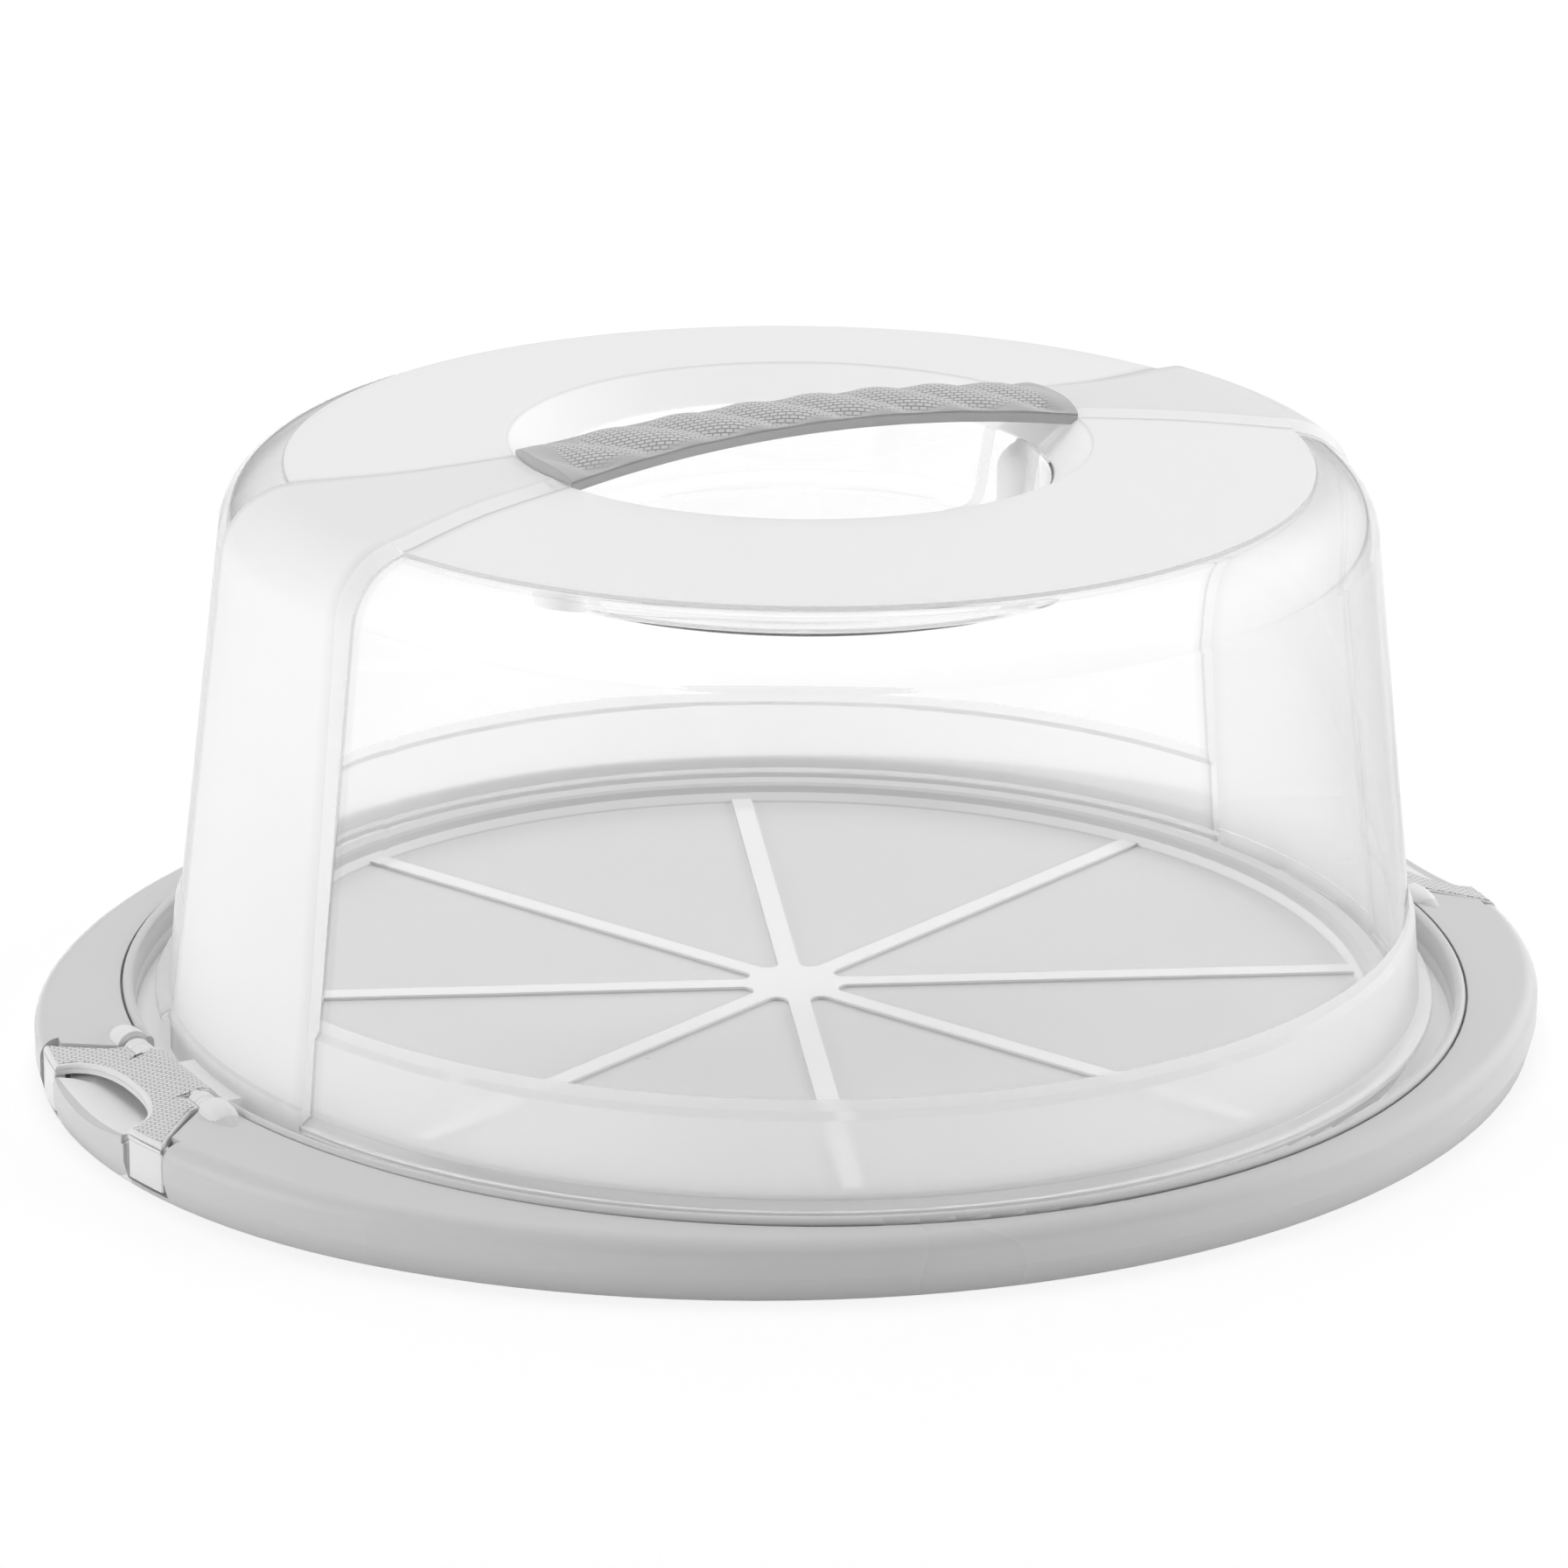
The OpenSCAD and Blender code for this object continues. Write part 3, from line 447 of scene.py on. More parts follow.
# half width of the plate along it: straight beside the barrel, then flaring to the legs
flareX = [155.8, 158.0, 160.4, 163.0, 166.0, 168.0, 169.2, 170.0]
flareY = [20.4, 21.0, 23.2, 25.7, 28.9, 31.0, 32.6, 33.3]
# height of the plate where it runs over the barrel, by distance from the hinge
humpX = [-5.0, -4.2, -3.2, -2.2, -1.0, 0.2, 1.6, 3.0]
humpZ = [13.1, 14.2, 14.9, 15.35, 15.62, 15.55, 15.1, 14.63]


def plateTop(x):
    plane = latch["top"] - latch["slope"] * (x - latch["x"])
    over = np.interp(x - latch["x"], humpX, humpZ)
    return np.where(x < latch["x"] + humpX[-1], over, plane)


def plateRow(y, inset):
    # where the plate starts and ends at this distance from its middle
    across = abs(y) + inset
    if across < latch["barrelHalf"] - latch["beads"] * latch["beadPitch"]:
        start = math.sqrt(latch["inner"] ** 2 - y * y) + inset
    else:
        start = max(np.interp(across, flareY, flareX), flareX[0] + inset)
    end = latch["endX"] + math.sqrt(latch["endR"] ** 2 - y * y) - inset - latch["endGap"]
    half = latch["archHalf"] + inset
    if abs(y) < half:
        depth = latch["archFoot"] - latch["archApex"] + inset
        end = min(end, latch["archFoot"] - depth * (1 - (abs(y) / half) ** 2.4) ** (1 / 2.4))
    return start, max(end, start + 0.05)


def plateSheets(inset, lift, thick, fillet):
    gap = latch["barrelHalf"] - latch["beads"] * latch["beadPitch"] - inset
    reach = flareY[-1] - inset
    half = np.concatenate([np.linspace(0, gap - 0.01, 22), np.linspace(gap + 0.01, latch["archHalf"] - 1, 14)[:-1],
                           np.linspace(latch["archHalf"] - 1, latch["archHalf"] + 1.2, 14)[:-1],
                           np.linspace(latch["archHalf"] + 1.2, reach, 24)])
    upper, lower = [], []
    for y in np.concatenate([-half[:0:-1], half]):
        start, end = plateRow(y, inset)
        x = start + (end - start) * (1 - np.cos(np.linspace(0, math.pi, 33))) / 2
        near = np.minimum(np.minimum(x - start, end - x), reach - abs(y))
        drop = fillet - np.sqrt(fillet ** 2 - np.clip(fillet - near, 0, fillet) ** 2)
        z = plateTop(x) + lift
        upper.append(np.stack([x, np.full_like(x, y), z - drop], axis=1))
        lower.append(np.stack([x, np.full_like(x, y), z - thick], axis=1))
    return closeSheets(upper, lower)


def legSheets(sign):
    outer, inner = [], []
    for z in np.concatenate([[latch["foot"], latch["foot"] + 0.15, latch["foot"] + 0.5], np.linspace(3, 11.6, 12)]):
        edge = 0.35 if z < latch["foot"] + 0.1 else 0
        y = np.linspace(latch["legIn"] + edge, latch["legOut"] - edge, 17)
        y[[1, -2]] = y[0] + 0.3, y[-1] - 0.3
        ends = np.where((y < y[0] + 0.1) | (y > y[-1] - 0.1), 0.35, 0) + edge * 0.6
        x = latch["endX"] + np.sqrt(latch["endR"] ** 2 - y ** 2)
        outer.append(np.stack([x - ends, sign * y, np.full_like(y, z)], axis=1))
        inner.append(np.stack([x - latch["legThick"], sign * y, np.full_like(y, z)], axis=1))
    return closeSheets(outer, inner)


def latheAlong(profile, turns=48):
    # a section of (place along the hinge, radius) turned about the hinge
    t = np.linspace(0, 2 * math.pi, turns + 1)[:-1]
    rows = [np.stack([latch["x"] + r * np.cos(t), np.full(turns, y), latch["z"] + r * np.sin(t)], axis=1)
            for y, r in profile]
    points, faces = gridMesh(rows)
    last = (len(rows) - 1) * turns
    return points, faces + [list(range(turns)), [last + i for i in range(turns)][::-1]]


def barrelProfile():
    profile = [(-latch["pegEnd"], 1.2), (-latch["pegEnd"] + 0.4, latch["pegR"]), (-latch["barrelHalf"], latch["pegR"])]
    for y in np.linspace(-latch["barrelHalf"], latch["barrelHalf"], 216):
        fromEnd = latch["barrelHalf"] - abs(y)
        ripple = abs(math.sin(fromEnd / latch["beadPitch"] * math.pi)) ** 0.5
        ribbed = fromEnd < latch["beads"] * latch["beadPitch"]
        profile.append((y, latch["barrelR"] + (0.35 * ripple - 0.1 if ribbed else 0)))
    return profile + [(latch["barrelHalf"], latch["pegR"]), (latch["pegEnd"] - 0.4, latch["pegR"]),
                      (latch["pegEnd"], 1.2)]


def hookMesh():
    arc = bend((0, 0), latch["hookR"], math.radians(208), math.radians(260), 12)
    section = np.concatenate([[[0, 0]], arc, [[1.5, 0]]])
    rows = [[[latch["x"] + x, y, latch["z"] + z] for x, z in section] for y in (-latch["hookHalf"], latch["hookHalf"])]
    points, faces = gridMesh(rows)
    n = len(section)
    return points, faces + [list(range(n)), [n + i for i in range(n)][::-1]]


def joinMeshes(parts):
    points, faces = [], []
    for partPoints, partFaces in parts:
        base = len(points)
        points += np.asarray(partPoints).tolist()
        faces += [[base + i for i in face] for face in partFaces]
    return np.array(points), faces


print("stage: latches and hinge caps")
latchBodies, latchPads, caps = {}, {}, []
capLine = [(latch["barrelHalf"] + 0.4, 2.9), (latch["barrelHalf"] + 0.7, latch["capR"])]
capLine += [(latch["capStart"] + (latch["capEnd"] - latch["capStart"]) * math.sin(t),
             latch["capR"] * math.cos(t) ** 0.8 + 0.02)
            for t in np.linspace(0, math.pi / 2 - 0.02, 20)]
for side, turn in (("right", 1), ("left", -1)):
    body = joinMeshes([plateSheets(0, latch["plateLift"], latch["thick"], latch["plateFillet"]),
                       legSheets(1), legSheets(-1), latheAlong(barrelProfile()), hookMesh()])
    pad = plateSheets(latch["padInset"], latch["padLift"], latch["padThick"], latch["padFillet"])
    for name, (points, faces), store in (("latchBody", body, latchBodies), ("latchPad", pad, latchPads)):
        store[side] = makeObject(name + side.title(), points * [turn, turn, 1], faces, 40)
        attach(store[side], "latch_" + side)
    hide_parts("latch_" + side)
    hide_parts("latch_pad_" + side)
    for sign in (-1, 1):
        points, faces = latheAlong([(sign * y, r) for y, r in capLine])
        caps.append((points * [turn, turn, 1] + [0, 0, latch["capRise"]], faces))
hingeCaps = makeObject("hingeCaps", *joinMeshes(caps), 40)
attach(hingeCaps, "tray")


# materials

# the edge colour is painted shade for where the shell turns away; the line colour is painted shade for the dark lines
# at riser, lip and bevels
domeLook = {"body": "#fafafa", "edge": "#303030", "line": "#b4b4b4", "ior": 1.49, "clearRough": 0.015,
            "frostRough": 0.45, "skinRough": 0.42, "through": 0.32, "shadeClear": 0.98, "shadeMilk": 0.88}


def facingEdge(tree, power, normal=None):
    # 0 where the surface faces the eye, rising to 1 where it turns away; it places the painted dark edge of the clear
    # shell
    layer = addNode(tree, "ShaderNodeLayerWeight", {"Blend": 0.5}, {"Normal": normal} if normal else None)
    return addNode(tree, "ShaderNodeMath", {"operation": "POWER", 1: power}, {0: layer.outputs["Facing"]}).outputs[0]


def domeMaterial():
    # clear moulded plastic, polished at the windows and spark-eroded on straps, crown and foot band:
    # reads as see-through glassy sides between milky bands, with painted shade: darker edges where it turns away,
    # standing in for the darker refraction and reflection there
    material, tree = newMaterial("clearMouldedPlasticPartlyFrosted")
    frost = addNode(tree, "ShaderNodeAttribute", {"attribute_name": "frost"}).outputs["Fac"]
    milk = addNode(tree, "ShaderNodeAttribute", {"attribute_name": "milk"}).outputs["Fac"]
    coords = addNode(tree, "ShaderNodeTexCoord").outputs["Object"]
    wave = addNode(tree, "ShaderNodeTexNoise", {"Scale": 16.0, "Detail": 2.0, "Roughness": 0.4}, {"Vector": coords})
    grain = addNode(tree, "ShaderNodeTexNoise", {"Scale": 2400.0, "Detail": 3.0}, {"Vector": coords})
    grainLevel = addNode(tree, "ShaderNodeMath", {"operation": "MULTIPLY"}, {0: grain.outputs["Fac"], 1: frost})
    bumpWave = addNode(tree, "ShaderNodeBump", {"Strength": 0.04, "Distance": 0.002}, {"Height": wave.outputs["Fac"]})
    bump = addNode(tree, "ShaderNodeBump", {"Strength": 0.1, "Distance": 0.0001},
                   {"Height": grainLevel.outputs[0], "Normal": bumpWave.outputs[0]})
    rough = addNode(tree, "ShaderNodeMapRange",
                    {"To Min": domeLook["clearRough"], "To Max": domeLook["frostRough"]}, {"Value": frost})
    # painted shade: this mark tints the clear and milky colours darker along the riser, the lip and the bevels, and a
    # little over the strap
    line = addNode(tree, "ShaderNodeAttribute", {"attribute_name": "line"}).outputs["Fac"]
    # painted shade: the clear shell is tinted towards the edge colour where it turns away
    paintedEdgeShown = addNode(tree, "ShaderNodeMath", {"operation": "ADD", 1: 1.0, "use_clamp": True}, {0: line})
    share = addNode(tree, "ShaderNodeMath", {"operation": "MULTIPLY"}, {0: paintedEdgeShown.outputs[0], 1: facingEdge(tree, 4.0)})
    turned = addNode(tree, "ShaderNodeMixRGB", {"Color1": (1, 1, 1, 1), "Color2": colour(domeLook["edge"])},
                     {"Fac": share.outputs[0]})
    paintedShadeTint = addNode(tree, "ShaderNodeMixRGB", {"Color2": colour(domeLook["line"])},
                   {"Fac": line, "Color1": turned.outputs[0]})
    milkPaintedShadeTint = addNode(tree, "ShaderNodeMixRGB",
                       {"Color1": colour(domeLook["body"]), "Color2": colour(domeLook["line"])}, {"Fac": line})
    clear = addNode(tree, "ShaderNodeBsdfPrincipled", {"IOR": domeLook["ior"], "Transmission Weight": 1.0},
                    {"Base Color": paintedShadeTint.outputs[0], "Roughness": rough.outputs[0], "Normal": bump.outputs[0]})
    skin = addNode(tree, "ShaderNodeBsdfPrincipled",
                   {"IOR": domeLook["ior"], "Roughness": domeLook["skinRough"]},
                   {"Base Color": milkPaintedShadeTint.outputs[0], "Normal": bump.outputs[0]})
    through = addNode(tree, "ShaderNodeBsdfTranslucent", {"Color": colour(domeLook["body"])})
    body = addNode(tree, "ShaderNodeMixShader", {"Fac": domeLook["through"]},
                   {1: skin.outputs[0], 2: through.outputs[0]})
    surface = addNode(tree, "ShaderNodeMixShader", {}, {0: milk, 1: clear.outputs[0], 2: body.outputs[0]})
    # light reaches the tray through the dome
    rays = addNode(tree, "ShaderNodeLightPath")
    shade = addNode(tree, "ShaderNodeMapRange",
                    {"To Min": domeLook["shadeClear"], "To Max": domeLook["shadeMilk"]}, {"Value": milk})
    passing = addNode(tree, "ShaderNodeBsdfTransparent", {}, {"Color": shade.outputs[0]})
    dim = addNode(tree, "ShaderNodeMath", {"operation": "MAXIMUM"},
                  {0: rays.outputs["Is Shadow Ray"], 1: rays.outputs["Is Diffuse Ray"]})
    final = addNode(tree, "ShaderNodeMixShader", {},
                    {0: dim.outputs[0], 1: surface.outputs[0], 2: passing.outputs[0]})
    addNode(tree, "ShaderNodeOutputMaterial", {}, {"Surface": final.outputs[0]})
    return material


# the plate tone and the moat-and-scoop tone are painted light, lighter than the tray to stand in for haze and to lift
# shade; the bar tone is darker as painted shade
plasticLook = {"tray": "#c6c6c6", "plate": "#d0d0d0", "ribs": "#eaeaea", "latch": "#dedede", "bar": "#b2b2b2",
               "paintedLight": "#e6e6e6", "rough": 0.28, "latchRough": 0.34, "barRough": 0.38, "ribRough": 0.12,
               "plateR": 130.7, "ribZ": 10.05, "moatR": 151.0, "moatTop": 9.6, "moatLow": 8.8,
               "scoopHalf": 20.8, "scoopX": 164.6, "scoopReach": 8.2}


def satinMaterial(name, hexText, rough, ribs=False):
    # satin moulded polypropylene: fine spark-eroded grain over slow waviness, a soft broad sheen;
    # the grain is drawn coarser than the real grit, so that it shows
    material, tree = newMaterial(name)
    coords = addNode(tree, "ShaderNodeTexCoord").outputs["Object"]
    wave = addNode(tree, "ShaderNodeTexNoise", {"Scale": 14.0, "Detail": 2.0}, {"Vector": coords})
    grain = addNode(tree, "ShaderNodeTexNoise", {"Scale": 1400.0, "Detail": 4.0}, {"Vector": coords})
    edge = addNode(tree, "ShaderNodeBevel", {"samples": 6, "Radius": 0.0004})
    bumpWave = addNode(tree, "ShaderNodeBump", {"Strength": 0.06, "Distance": 0.002},
                       {"Height": wave.outputs["Fac"], "Normal": edge.outputs[0]})
    bump = addNode(tree, "ShaderNodeBump", {"Strength": 0.1, "Distance": 0.00012},
                   {"Height": grain.outputs["Fac"], "Normal": bumpWave.outputs[0]})
    roughness = addNode(tree, "ShaderNodeMapRange", {"To Min": rough - 0.04, "To Max": rough + 0.06},
                        {"Value": wave.outputs["Fac"]}).outputs[0]
    tone = addNode(tree, "ShaderNodeMixRGB", {"Color1": colour(hexText),
                                              "Color2": [c * 0.97 for c in colour(hexText)[:3]] + [1]},
                   {"Fac": wave.outputs["Fac"]}).outputs[0]
    if ribs:
        # painted light: the plate is drawn lighter than the rim, standing in for the haze that the dome's walls lay
        # over it; the ribs' raised tops are drawn brighter and glossier
        axes = addNode(tree, "ShaderNodeSeparateXYZ", {}, {"Vector": coords})
        flat = addNode(tree, "ShaderNodeVectorMath", {"operation": "MULTIPLY", 1: (1, 1, 0)}, {0: coords})
        reach = addNode(tree, "ShaderNodeVectorMath", {"operation": "LENGTH"}, {0: flat.outputs[0]})
        inside = addNode(tree, "ShaderNodeMath", {"operation": "LESS_THAN", 1: plasticLook["plateR"] * mm},
                         {0: reach.outputs["Value"]})
        tone = addNode(tree, "ShaderNodeMixRGB", {"Color2": colour(plasticLook["plate"])},
                       {"Fac": inside.outputs[0], "Color1": tone}).outputs[0]
        # painted light: the moat and the finger scoops are drawn lighter, lifting the shade that falls in these
        # recesses
        away = addNode(tree, "ShaderNodeVectorMath", {"operation": "ABSOLUTE"}, {0: coords})
        awayAxes = addNode(tree, "ShaderNodeSeparateXYZ", {}, {"Vector": away.outputs[0]})
        low = addNode(tree, "ShaderNodeMapRange",
                      {"From Min": plasticLook["moatTop"] * mm, "From Max": plasticLook["moatLow"] * mm},
                      {"Value": axes.outputs["Z"]})
        within = addNode(tree, "ShaderNodeMath", {"operation": "LESS_THAN", 1: plasticLook["moatR"] * mm},
                         {0: reach.outputs["Value"]})
        moat = addNode(tree, "ShaderNodeMath", {"operation": "MULTIPLY"}, {0: low.outputs[0], 1: within.outputs[0]})
        nearMiddle = addNode(tree, "ShaderNodeMath", {"operation": "LESS_THAN", 1: plasticLook["scoopHalf"] * mm},
                             {0: awayAxes.outputs["Y"]})
        fromHinge = addNode(tree, "ShaderNodeMath",
                            {"operation": "COMPARE", 1: plasticLook["scoopX"] * mm, 2: plasticLook["scoopReach"] * mm},
                            {0: awayAxes.outputs["X"]})
        scoop = addNode(tree, "ShaderNodeMath", {"operation": "MULTIPLY"},
                        {0: nearMiddle.outputs[0], 1: fromHinge.outputs[0]})
        paintedLight = addNode(tree, "ShaderNodeMath", {"operation": "MAXIMUM"}, {0: moat.outputs[0], 1: scoop.outputs[0]})
        tone = addNode(tree, "ShaderNodeMixRGB", {"Color2": colour(plasticLook["paintedLight"])},
                       {"Fac": paintedLight.outputs[0], "Color1": tone}).outputs[0]
        raised = addNode(tree, "ShaderNodeMath", {"operation": "GREATER_THAN", 1: plasticLook["ribZ"] * mm},
                         {0: axes.outputs["Z"]})
        onRib = addNode(tree, "ShaderNodeMath", {"operation": "MULTIPLY"},
                        {0: inside.outputs[0], 1: raised.outputs[0]}).outputs[0]
        tone = addNode(tree, "ShaderNodeMixRGB", {"Color2": colour(plasticLook["ribs"])},
                       {"Fac": onRib, "Color1": tone}).outputs[0]
        roughness = addNode(tree, "ShaderNodeMix", {3: plasticLook["ribRough"]}, {0: onRib, 2: roughness}).outputs[0]
    bsdf = addNode(tree, "ShaderNodeBsdfPrincipled", {"IOR": 1.49},
                   {"Base Color": tone, "Roughness": roughness, "Normal": bump.outputs[0]})
    addNode(tree, "ShaderNodeOutputMaterial", {}, {"Surface": bsdf.outputs[0]})
    return material


gripLook = {"grip": "#cacaca", "smooth": "#aeaeae", "pad": "#dcdcdc", "cellLong": 1.8, "cellShort": 1.05,
            "mortar": 0.24, "rough": 0.5, "grooveShadeTone": 0.55, "gripTurn": 32, "padTurn": 20}


def gripMaterial(name, hexText, turn, masked=False):
    # soft overmould, whose rows of staggered pillows break up its shine; the pillows are sized in mm,
    # somewhat coarser than the real texture, so that they show
    material, tree = newMaterial(name)
    coords = addNode(tree, "ShaderNodeTexCoord").outputs["Object"]
    turned = addNode(tree, "ShaderNodeMapping",
                     {"Rotation": (0, 0, math.radians(turn)), "Scale": (1000, 1000, 1000)}, {"Vector": coords})
    cells = addNode(tree, "ShaderNodeTexBrick",
                    {"Color1": (1, 1, 1, 1), "Color2": (0.8, 0.8, 0.8, 1), "Mortar": (0, 0, 0, 1), "Scale": 1.0,
                     "Brick Width": gripLook["cellLong"], "Row Height": gripLook["cellShort"],
                     "Mortar Size": gripLook["mortar"], "Mortar Smooth": 1.0}, {"Vector": turned.outputs[0]})
    grain = addNode(tree, "ShaderNodeTexNoise", {"Scale": 1800.0, "Detail": 3.0}, {"Vector": coords})
    height = addNode(tree, "ShaderNodeMath", {"operation": "SUBTRACT", 0: 1.0}, {1: cells.outputs["Fac"]})
    if masked:
        # the grip's border and ends are smooth
        mask = addNode(tree, "ShaderNodeAttribute", {"attribute_name": "texture"}).outputs["Fac"]
        height = addNode(tree, "ShaderNodeMix", {2: 0.5}, {0: mask, 3: height.outputs[0]})
    both = addNode(tree, "ShaderNodeMath", {"operation": "MULTIPLY_ADD", 1: 0.15},
                   {0: grain.outputs["Fac"], 2: height.outputs[0]})
    edge = addNode(tree, "ShaderNodeBevel", {"samples": 4, "Radius": 0.0003})
    bump = addNode(tree, "ShaderNodeBump", {"Strength": 0.8, "Distance": 0.00028},
                   {"Height": both.outputs[0], "Normal": edge.outputs[0]})
    # painted shade: the grooves between the pillows are drawn darker
    paintedGrooveShade = [c * gripLook["grooveShadeTone"] for c in colour(hexText)[:3]] + [1]
    tone = addNode(tree, "ShaderNodeMixRGB", {"Color1": paintedGrooveShade, "Color2": colour(hexText)},
                   {"Fac": height.outputs[0]})
    # painted shade: the smooth border and ends are drawn darker, standing in for the shade on the grip's flanks
    if masked:
        tone = addNode(tree, "ShaderNodeMixRGB", {"Color1": colour(gripLook["smooth"])},
                       {"Fac": mask, "Color2": tone.outputs[0]})
    bsdf = addNode(tree, "ShaderNodeBsdfPrincipled", {"IOR": 1.5, "Roughness": gripLook["rough"]},
                   {"Base Color": tone.outputs[0], "Normal": bump.outputs[0]})
    addNode(tree, "ShaderNodeOutputMaterial", {}, {"Surface": bsdf.outputs[0]})
    return material


print("stage: materials")
clearPlastic = domeMaterial()
for piece in (domeShell, heels, bosses):
    giveMaterial(piece, clearPlastic)
giveMaterial(nodes["tray"], satinMaterial("satinMouldedPolypropyleneTray", plasticLook["tray"],
                                          plasticLook["rough"], ribs=True))
latchPlastic = satinMaterial("satinMouldedPolypropyleneLatch", plasticLook["latch"], plasticLook["latchRough"])
padRubber = gripMaterial("softPadPillowTextured", gripLook["pad"], gripLook["padTurn"])
for side in ("left", "right"):
    giveMaterial(latchBodies[side], latchPlastic)
    giveMaterial(latchPads[side], padRubber)
giveMaterial(hingeCaps, latchPlastic)
# painted shade: the bar's colour is set darker, standing in for the shade on its flank below the grip
giveMaterial(handleBar, satinMaterial("satinMouldedHandleBar", plasticLook["bar"], plasticLook["barRough"]))
giveMaterial(softGrip, gripMaterial("softGripPillowTextured", gripLook["grip"], gripLook["gripTurn"], masked=True))


# floor, light and camera

stageLook = {"floor": "#fdfdfd", "floorSize": 12.0, "floorDrop": 0.0002, "glow": 0.8, "world": 0.34, "lampAim": 0.06}


def buildStage():
    mesh = bpy.data.meshes.new("floor")
    s = stageLook["floorSize"] / 2
    mesh.from_pydata([(-s, -s, 0), (s, -s, 0), (s, s, 0), (-s, s, 0)], [], [(0, 1, 2, 3)])
    floor = bpy.data.objects.new("floor", mesh)
    floor.location.z = -stageLook["floorDrop"]
    bpy.context.scene.collection.objects.link(floor)
    # matt white studio floor, lifted to white where it is seen, with the object's shadow kept
    material, tree = newMaterial("paintedStudioFloor")
    coords = addNode(tree, "ShaderNodeTexCoord").outputs["Object"]
    mottle = addNode(tree, "ShaderNodeTexNoise", {"Scale": 40.0, "Detail": 4.0}, {"Vector": coords})
    bump = addNode(tree, "ShaderNodeBump", {"Strength": 0.03, "Distance": 0.0005}, {"Height": mottle.outputs["Fac"]})
    matt = addNode(tree, "ShaderNodeBsdfDiffuse", {"Color": colour(stageLook["floor"])}, {"Normal": bump.outputs[0]})
    white = addNode(tree, "ShaderNodeEmission", {"Color": (1, 1, 1, 1), "Strength": 1.0})
    rays = addNode(tree, "ShaderNodeLightPath")
    seen = addNode(tree, "ShaderNodeMath", {"operation": "MAXIMUM"},
                   {0: rays.outputs["Is Camera Ray"], 1: rays.outputs["Is Transmission Ray"]})
    share = addNode(tree, "ShaderNodeMath", {"operation": "MULTIPLY", 1: stageLook["glow"]}, {0: seen.outputs[0]})
    both = addNode(tree, "ShaderNodeMixShader", {}, {0: share.outputs[0], 1: matt.outputs[0], 2: white.outputs[0]})
    addNode(tree, "ShaderNodeOutputMaterial", {}, {"Surface": both.outputs[0]})
    giveMaterial(floor, material)


def buildWorld():
    # white where it is seen or shows through the dome; reflections see a soft studio, brighter overhead
    world = bpy.data.worlds.new("studio")
    world.use_nodes = True
    tree = world.node_tree
    tree.nodes.clear()
    rays = addNode(tree, "ShaderNodeLightPath")
    seen = addNode(tree, "ShaderNodeMath", {"operation": "MAXIMUM"},
                   {0: rays.outputs["Is Camera Ray"], 1: rays.outputs["Is Transmission Ray"]})
    direction = addNode(tree, "ShaderNodeTexCoord").outputs["Generated"]
    axes = addNode(tree, "ShaderNodeSeparateXYZ", {}, {"Vector": direction})
    height = addNode(tree, "ShaderNodeMapRange", {"From Min": 0.0, "From Max": 0.7, "To Min": 0.3, "To Max": 1.2},
                     {"Value": axes.outputs["Z"]})
    away = addNode(tree, "ShaderNodeMath", {"operation": "ABSOLUTE"}, {0: axes.outputs["X"]})
    sides = addNode(tree, "ShaderNodeMapRange", {"From Min": 0.55, "From Max": 0.9, "To Min": 0.0, "To Max": 1.0,
                                                 "interpolation_type": "SMOOTHSTEP"}, {"Value": away.outputs[0]})
    studio = addNode(tree, "ShaderNodeMath", {"operation": "ADD"}, {0: height.outputs[0], 1: sides.outputs[0]})
    plain = addNode(tree, "ShaderNodeMix", {2: stageLook["world"]},
                    {0: rays.outputs["Is Glossy Ray"], 3: studio.outputs[0]})
    strength = addNode(tree, "ShaderNodeMix", {3: 1.0}, {0: seen.outputs[0], 2: plain.outputs[0]})
    glow = addNode(tree, "ShaderNodeBackground", {"Color": (1, 1, 1, 1)}, {"Strength": strength.outputs[0]})
    addNode(tree, "ShaderNodeOutputWorld", {}, {"Surface": glow.outputs[0]})
    bpy.context.scene.world = world


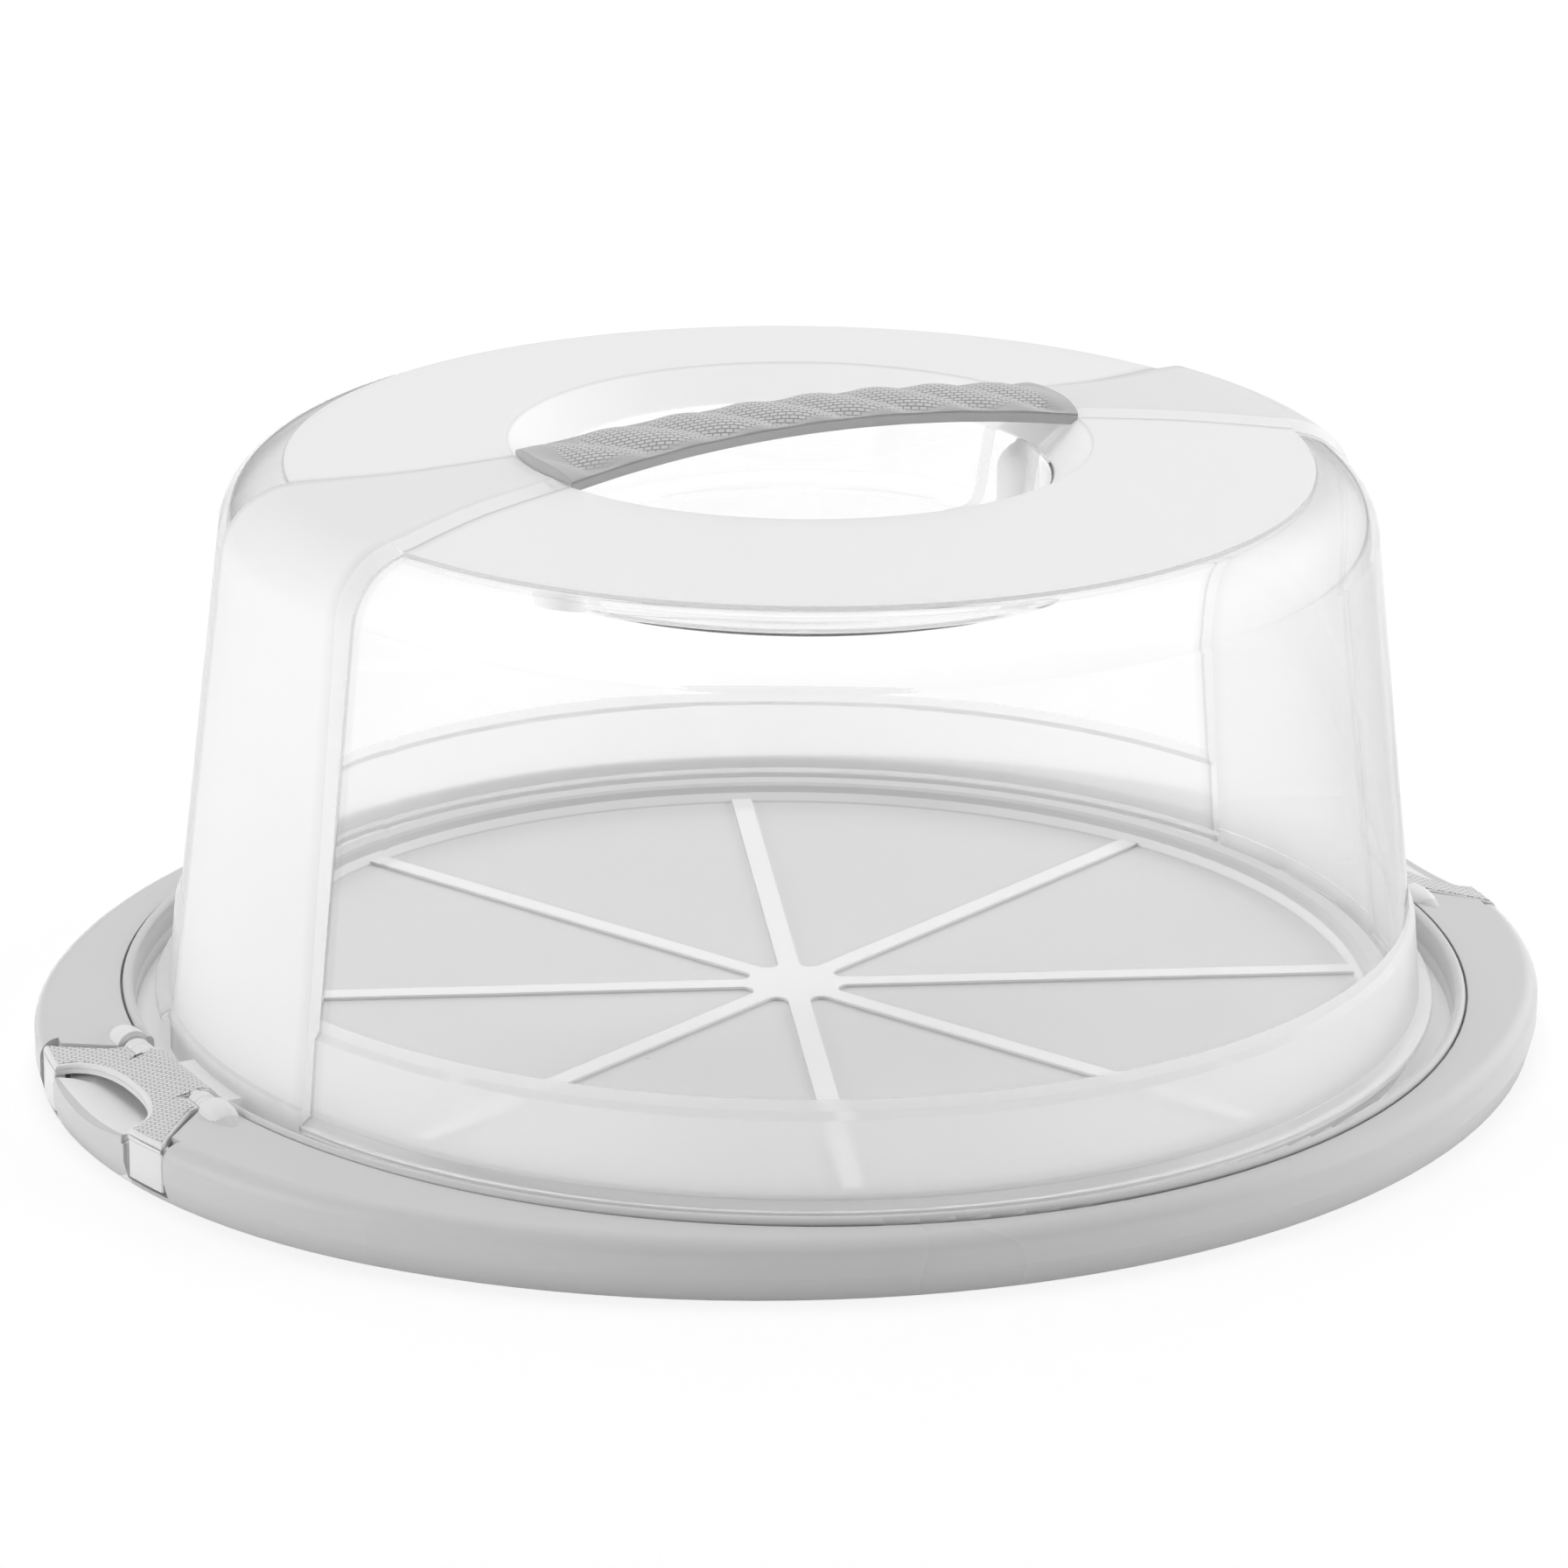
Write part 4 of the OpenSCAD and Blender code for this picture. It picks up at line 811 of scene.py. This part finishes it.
lamps = {
    "overhead": {"at": (0.3, 0.8, 2.1), "size": 1.5, "watts": 25},
    "left": {"at": (-2.1, 0.4, 0.45), "size": 1.2, "watts": 23},
    "right": {"at": (2.0, -1.2, 0.9), "size": 1.2, "watts": 29},
    "back": {"at": (0.9, 2.0, 0.8), "size": 1.4, "watts": 14},
}


def buildLamps():
    for name, look in lamps.items():
        data = bpy.data.lights.new(name, "AREA")
        data.shape = "DISK"
        data.size = look["size"]
        data.energy = look["watts"]
        lamp = bpy.data.objects.new(name, data)
        lamp.location = look["at"]
        lamp.rotation_euler = (Vector((0, 0, stageLook["lampAim"])) - lamp.location).to_track_quat("-Z", "Y").to_euler()
        lamp.visible_glossy = lamp.visible_transmission = False
        bpy.context.scene.collection.objects.link(lamp)


# the viewpoint was solved from the photograph's ellipses
shot = {"azimuth": -28.51, "elevation": 20.75, "distance": 1.4559, "roll": 0.64,
        "lens": 145.79, "base": 0.0017, "aimUp": 0.05341, "aimRight": -0.00219}


def buildCamera():
    a, e, roll = (math.radians(shot[k]) for k in ("azimuth", "elevation", "roll"))
    target = Vector((0, 0, shot["base"]))
    toCamera = Vector((math.sin(a) * math.cos(e), -math.cos(a) * math.cos(e), math.sin(e)))
    place = target + toCamera * shot["distance"]
    right = Vector((math.cos(a), math.sin(a), 0))
    up = toCamera.cross(right)
    right, up = right * math.cos(roll) + up * math.sin(roll), up * math.cos(roll) - right * math.sin(roll)
    aim = target + up * shot["aimUp"] + right * shot["aimRight"]
    back = (place - aim).normalized()
    right = up.cross(back).normalized()
    up = back.cross(right)
    data = bpy.data.cameras.new("camera")
    data.lens = shot["lens"]
    data.sensor_width = 36
    data.clip_start, data.clip_end = 0.05, 60
    camera = bpy.data.objects.new("camera", data)
    camera.matrix_world = Matrix([[right[i], up[i], back[i], place[i]] for i in range(3)] + [[0, 0, 0, 1]])
    bpy.context.scene.collection.objects.link(camera)
    bpy.context.scene.camera = camera


print("stage: floor, light and camera")
buildStage()
buildWorld()
buildLamps()
buildCamera()
bpy.context.scene.view_settings.view_transform = "Standard"
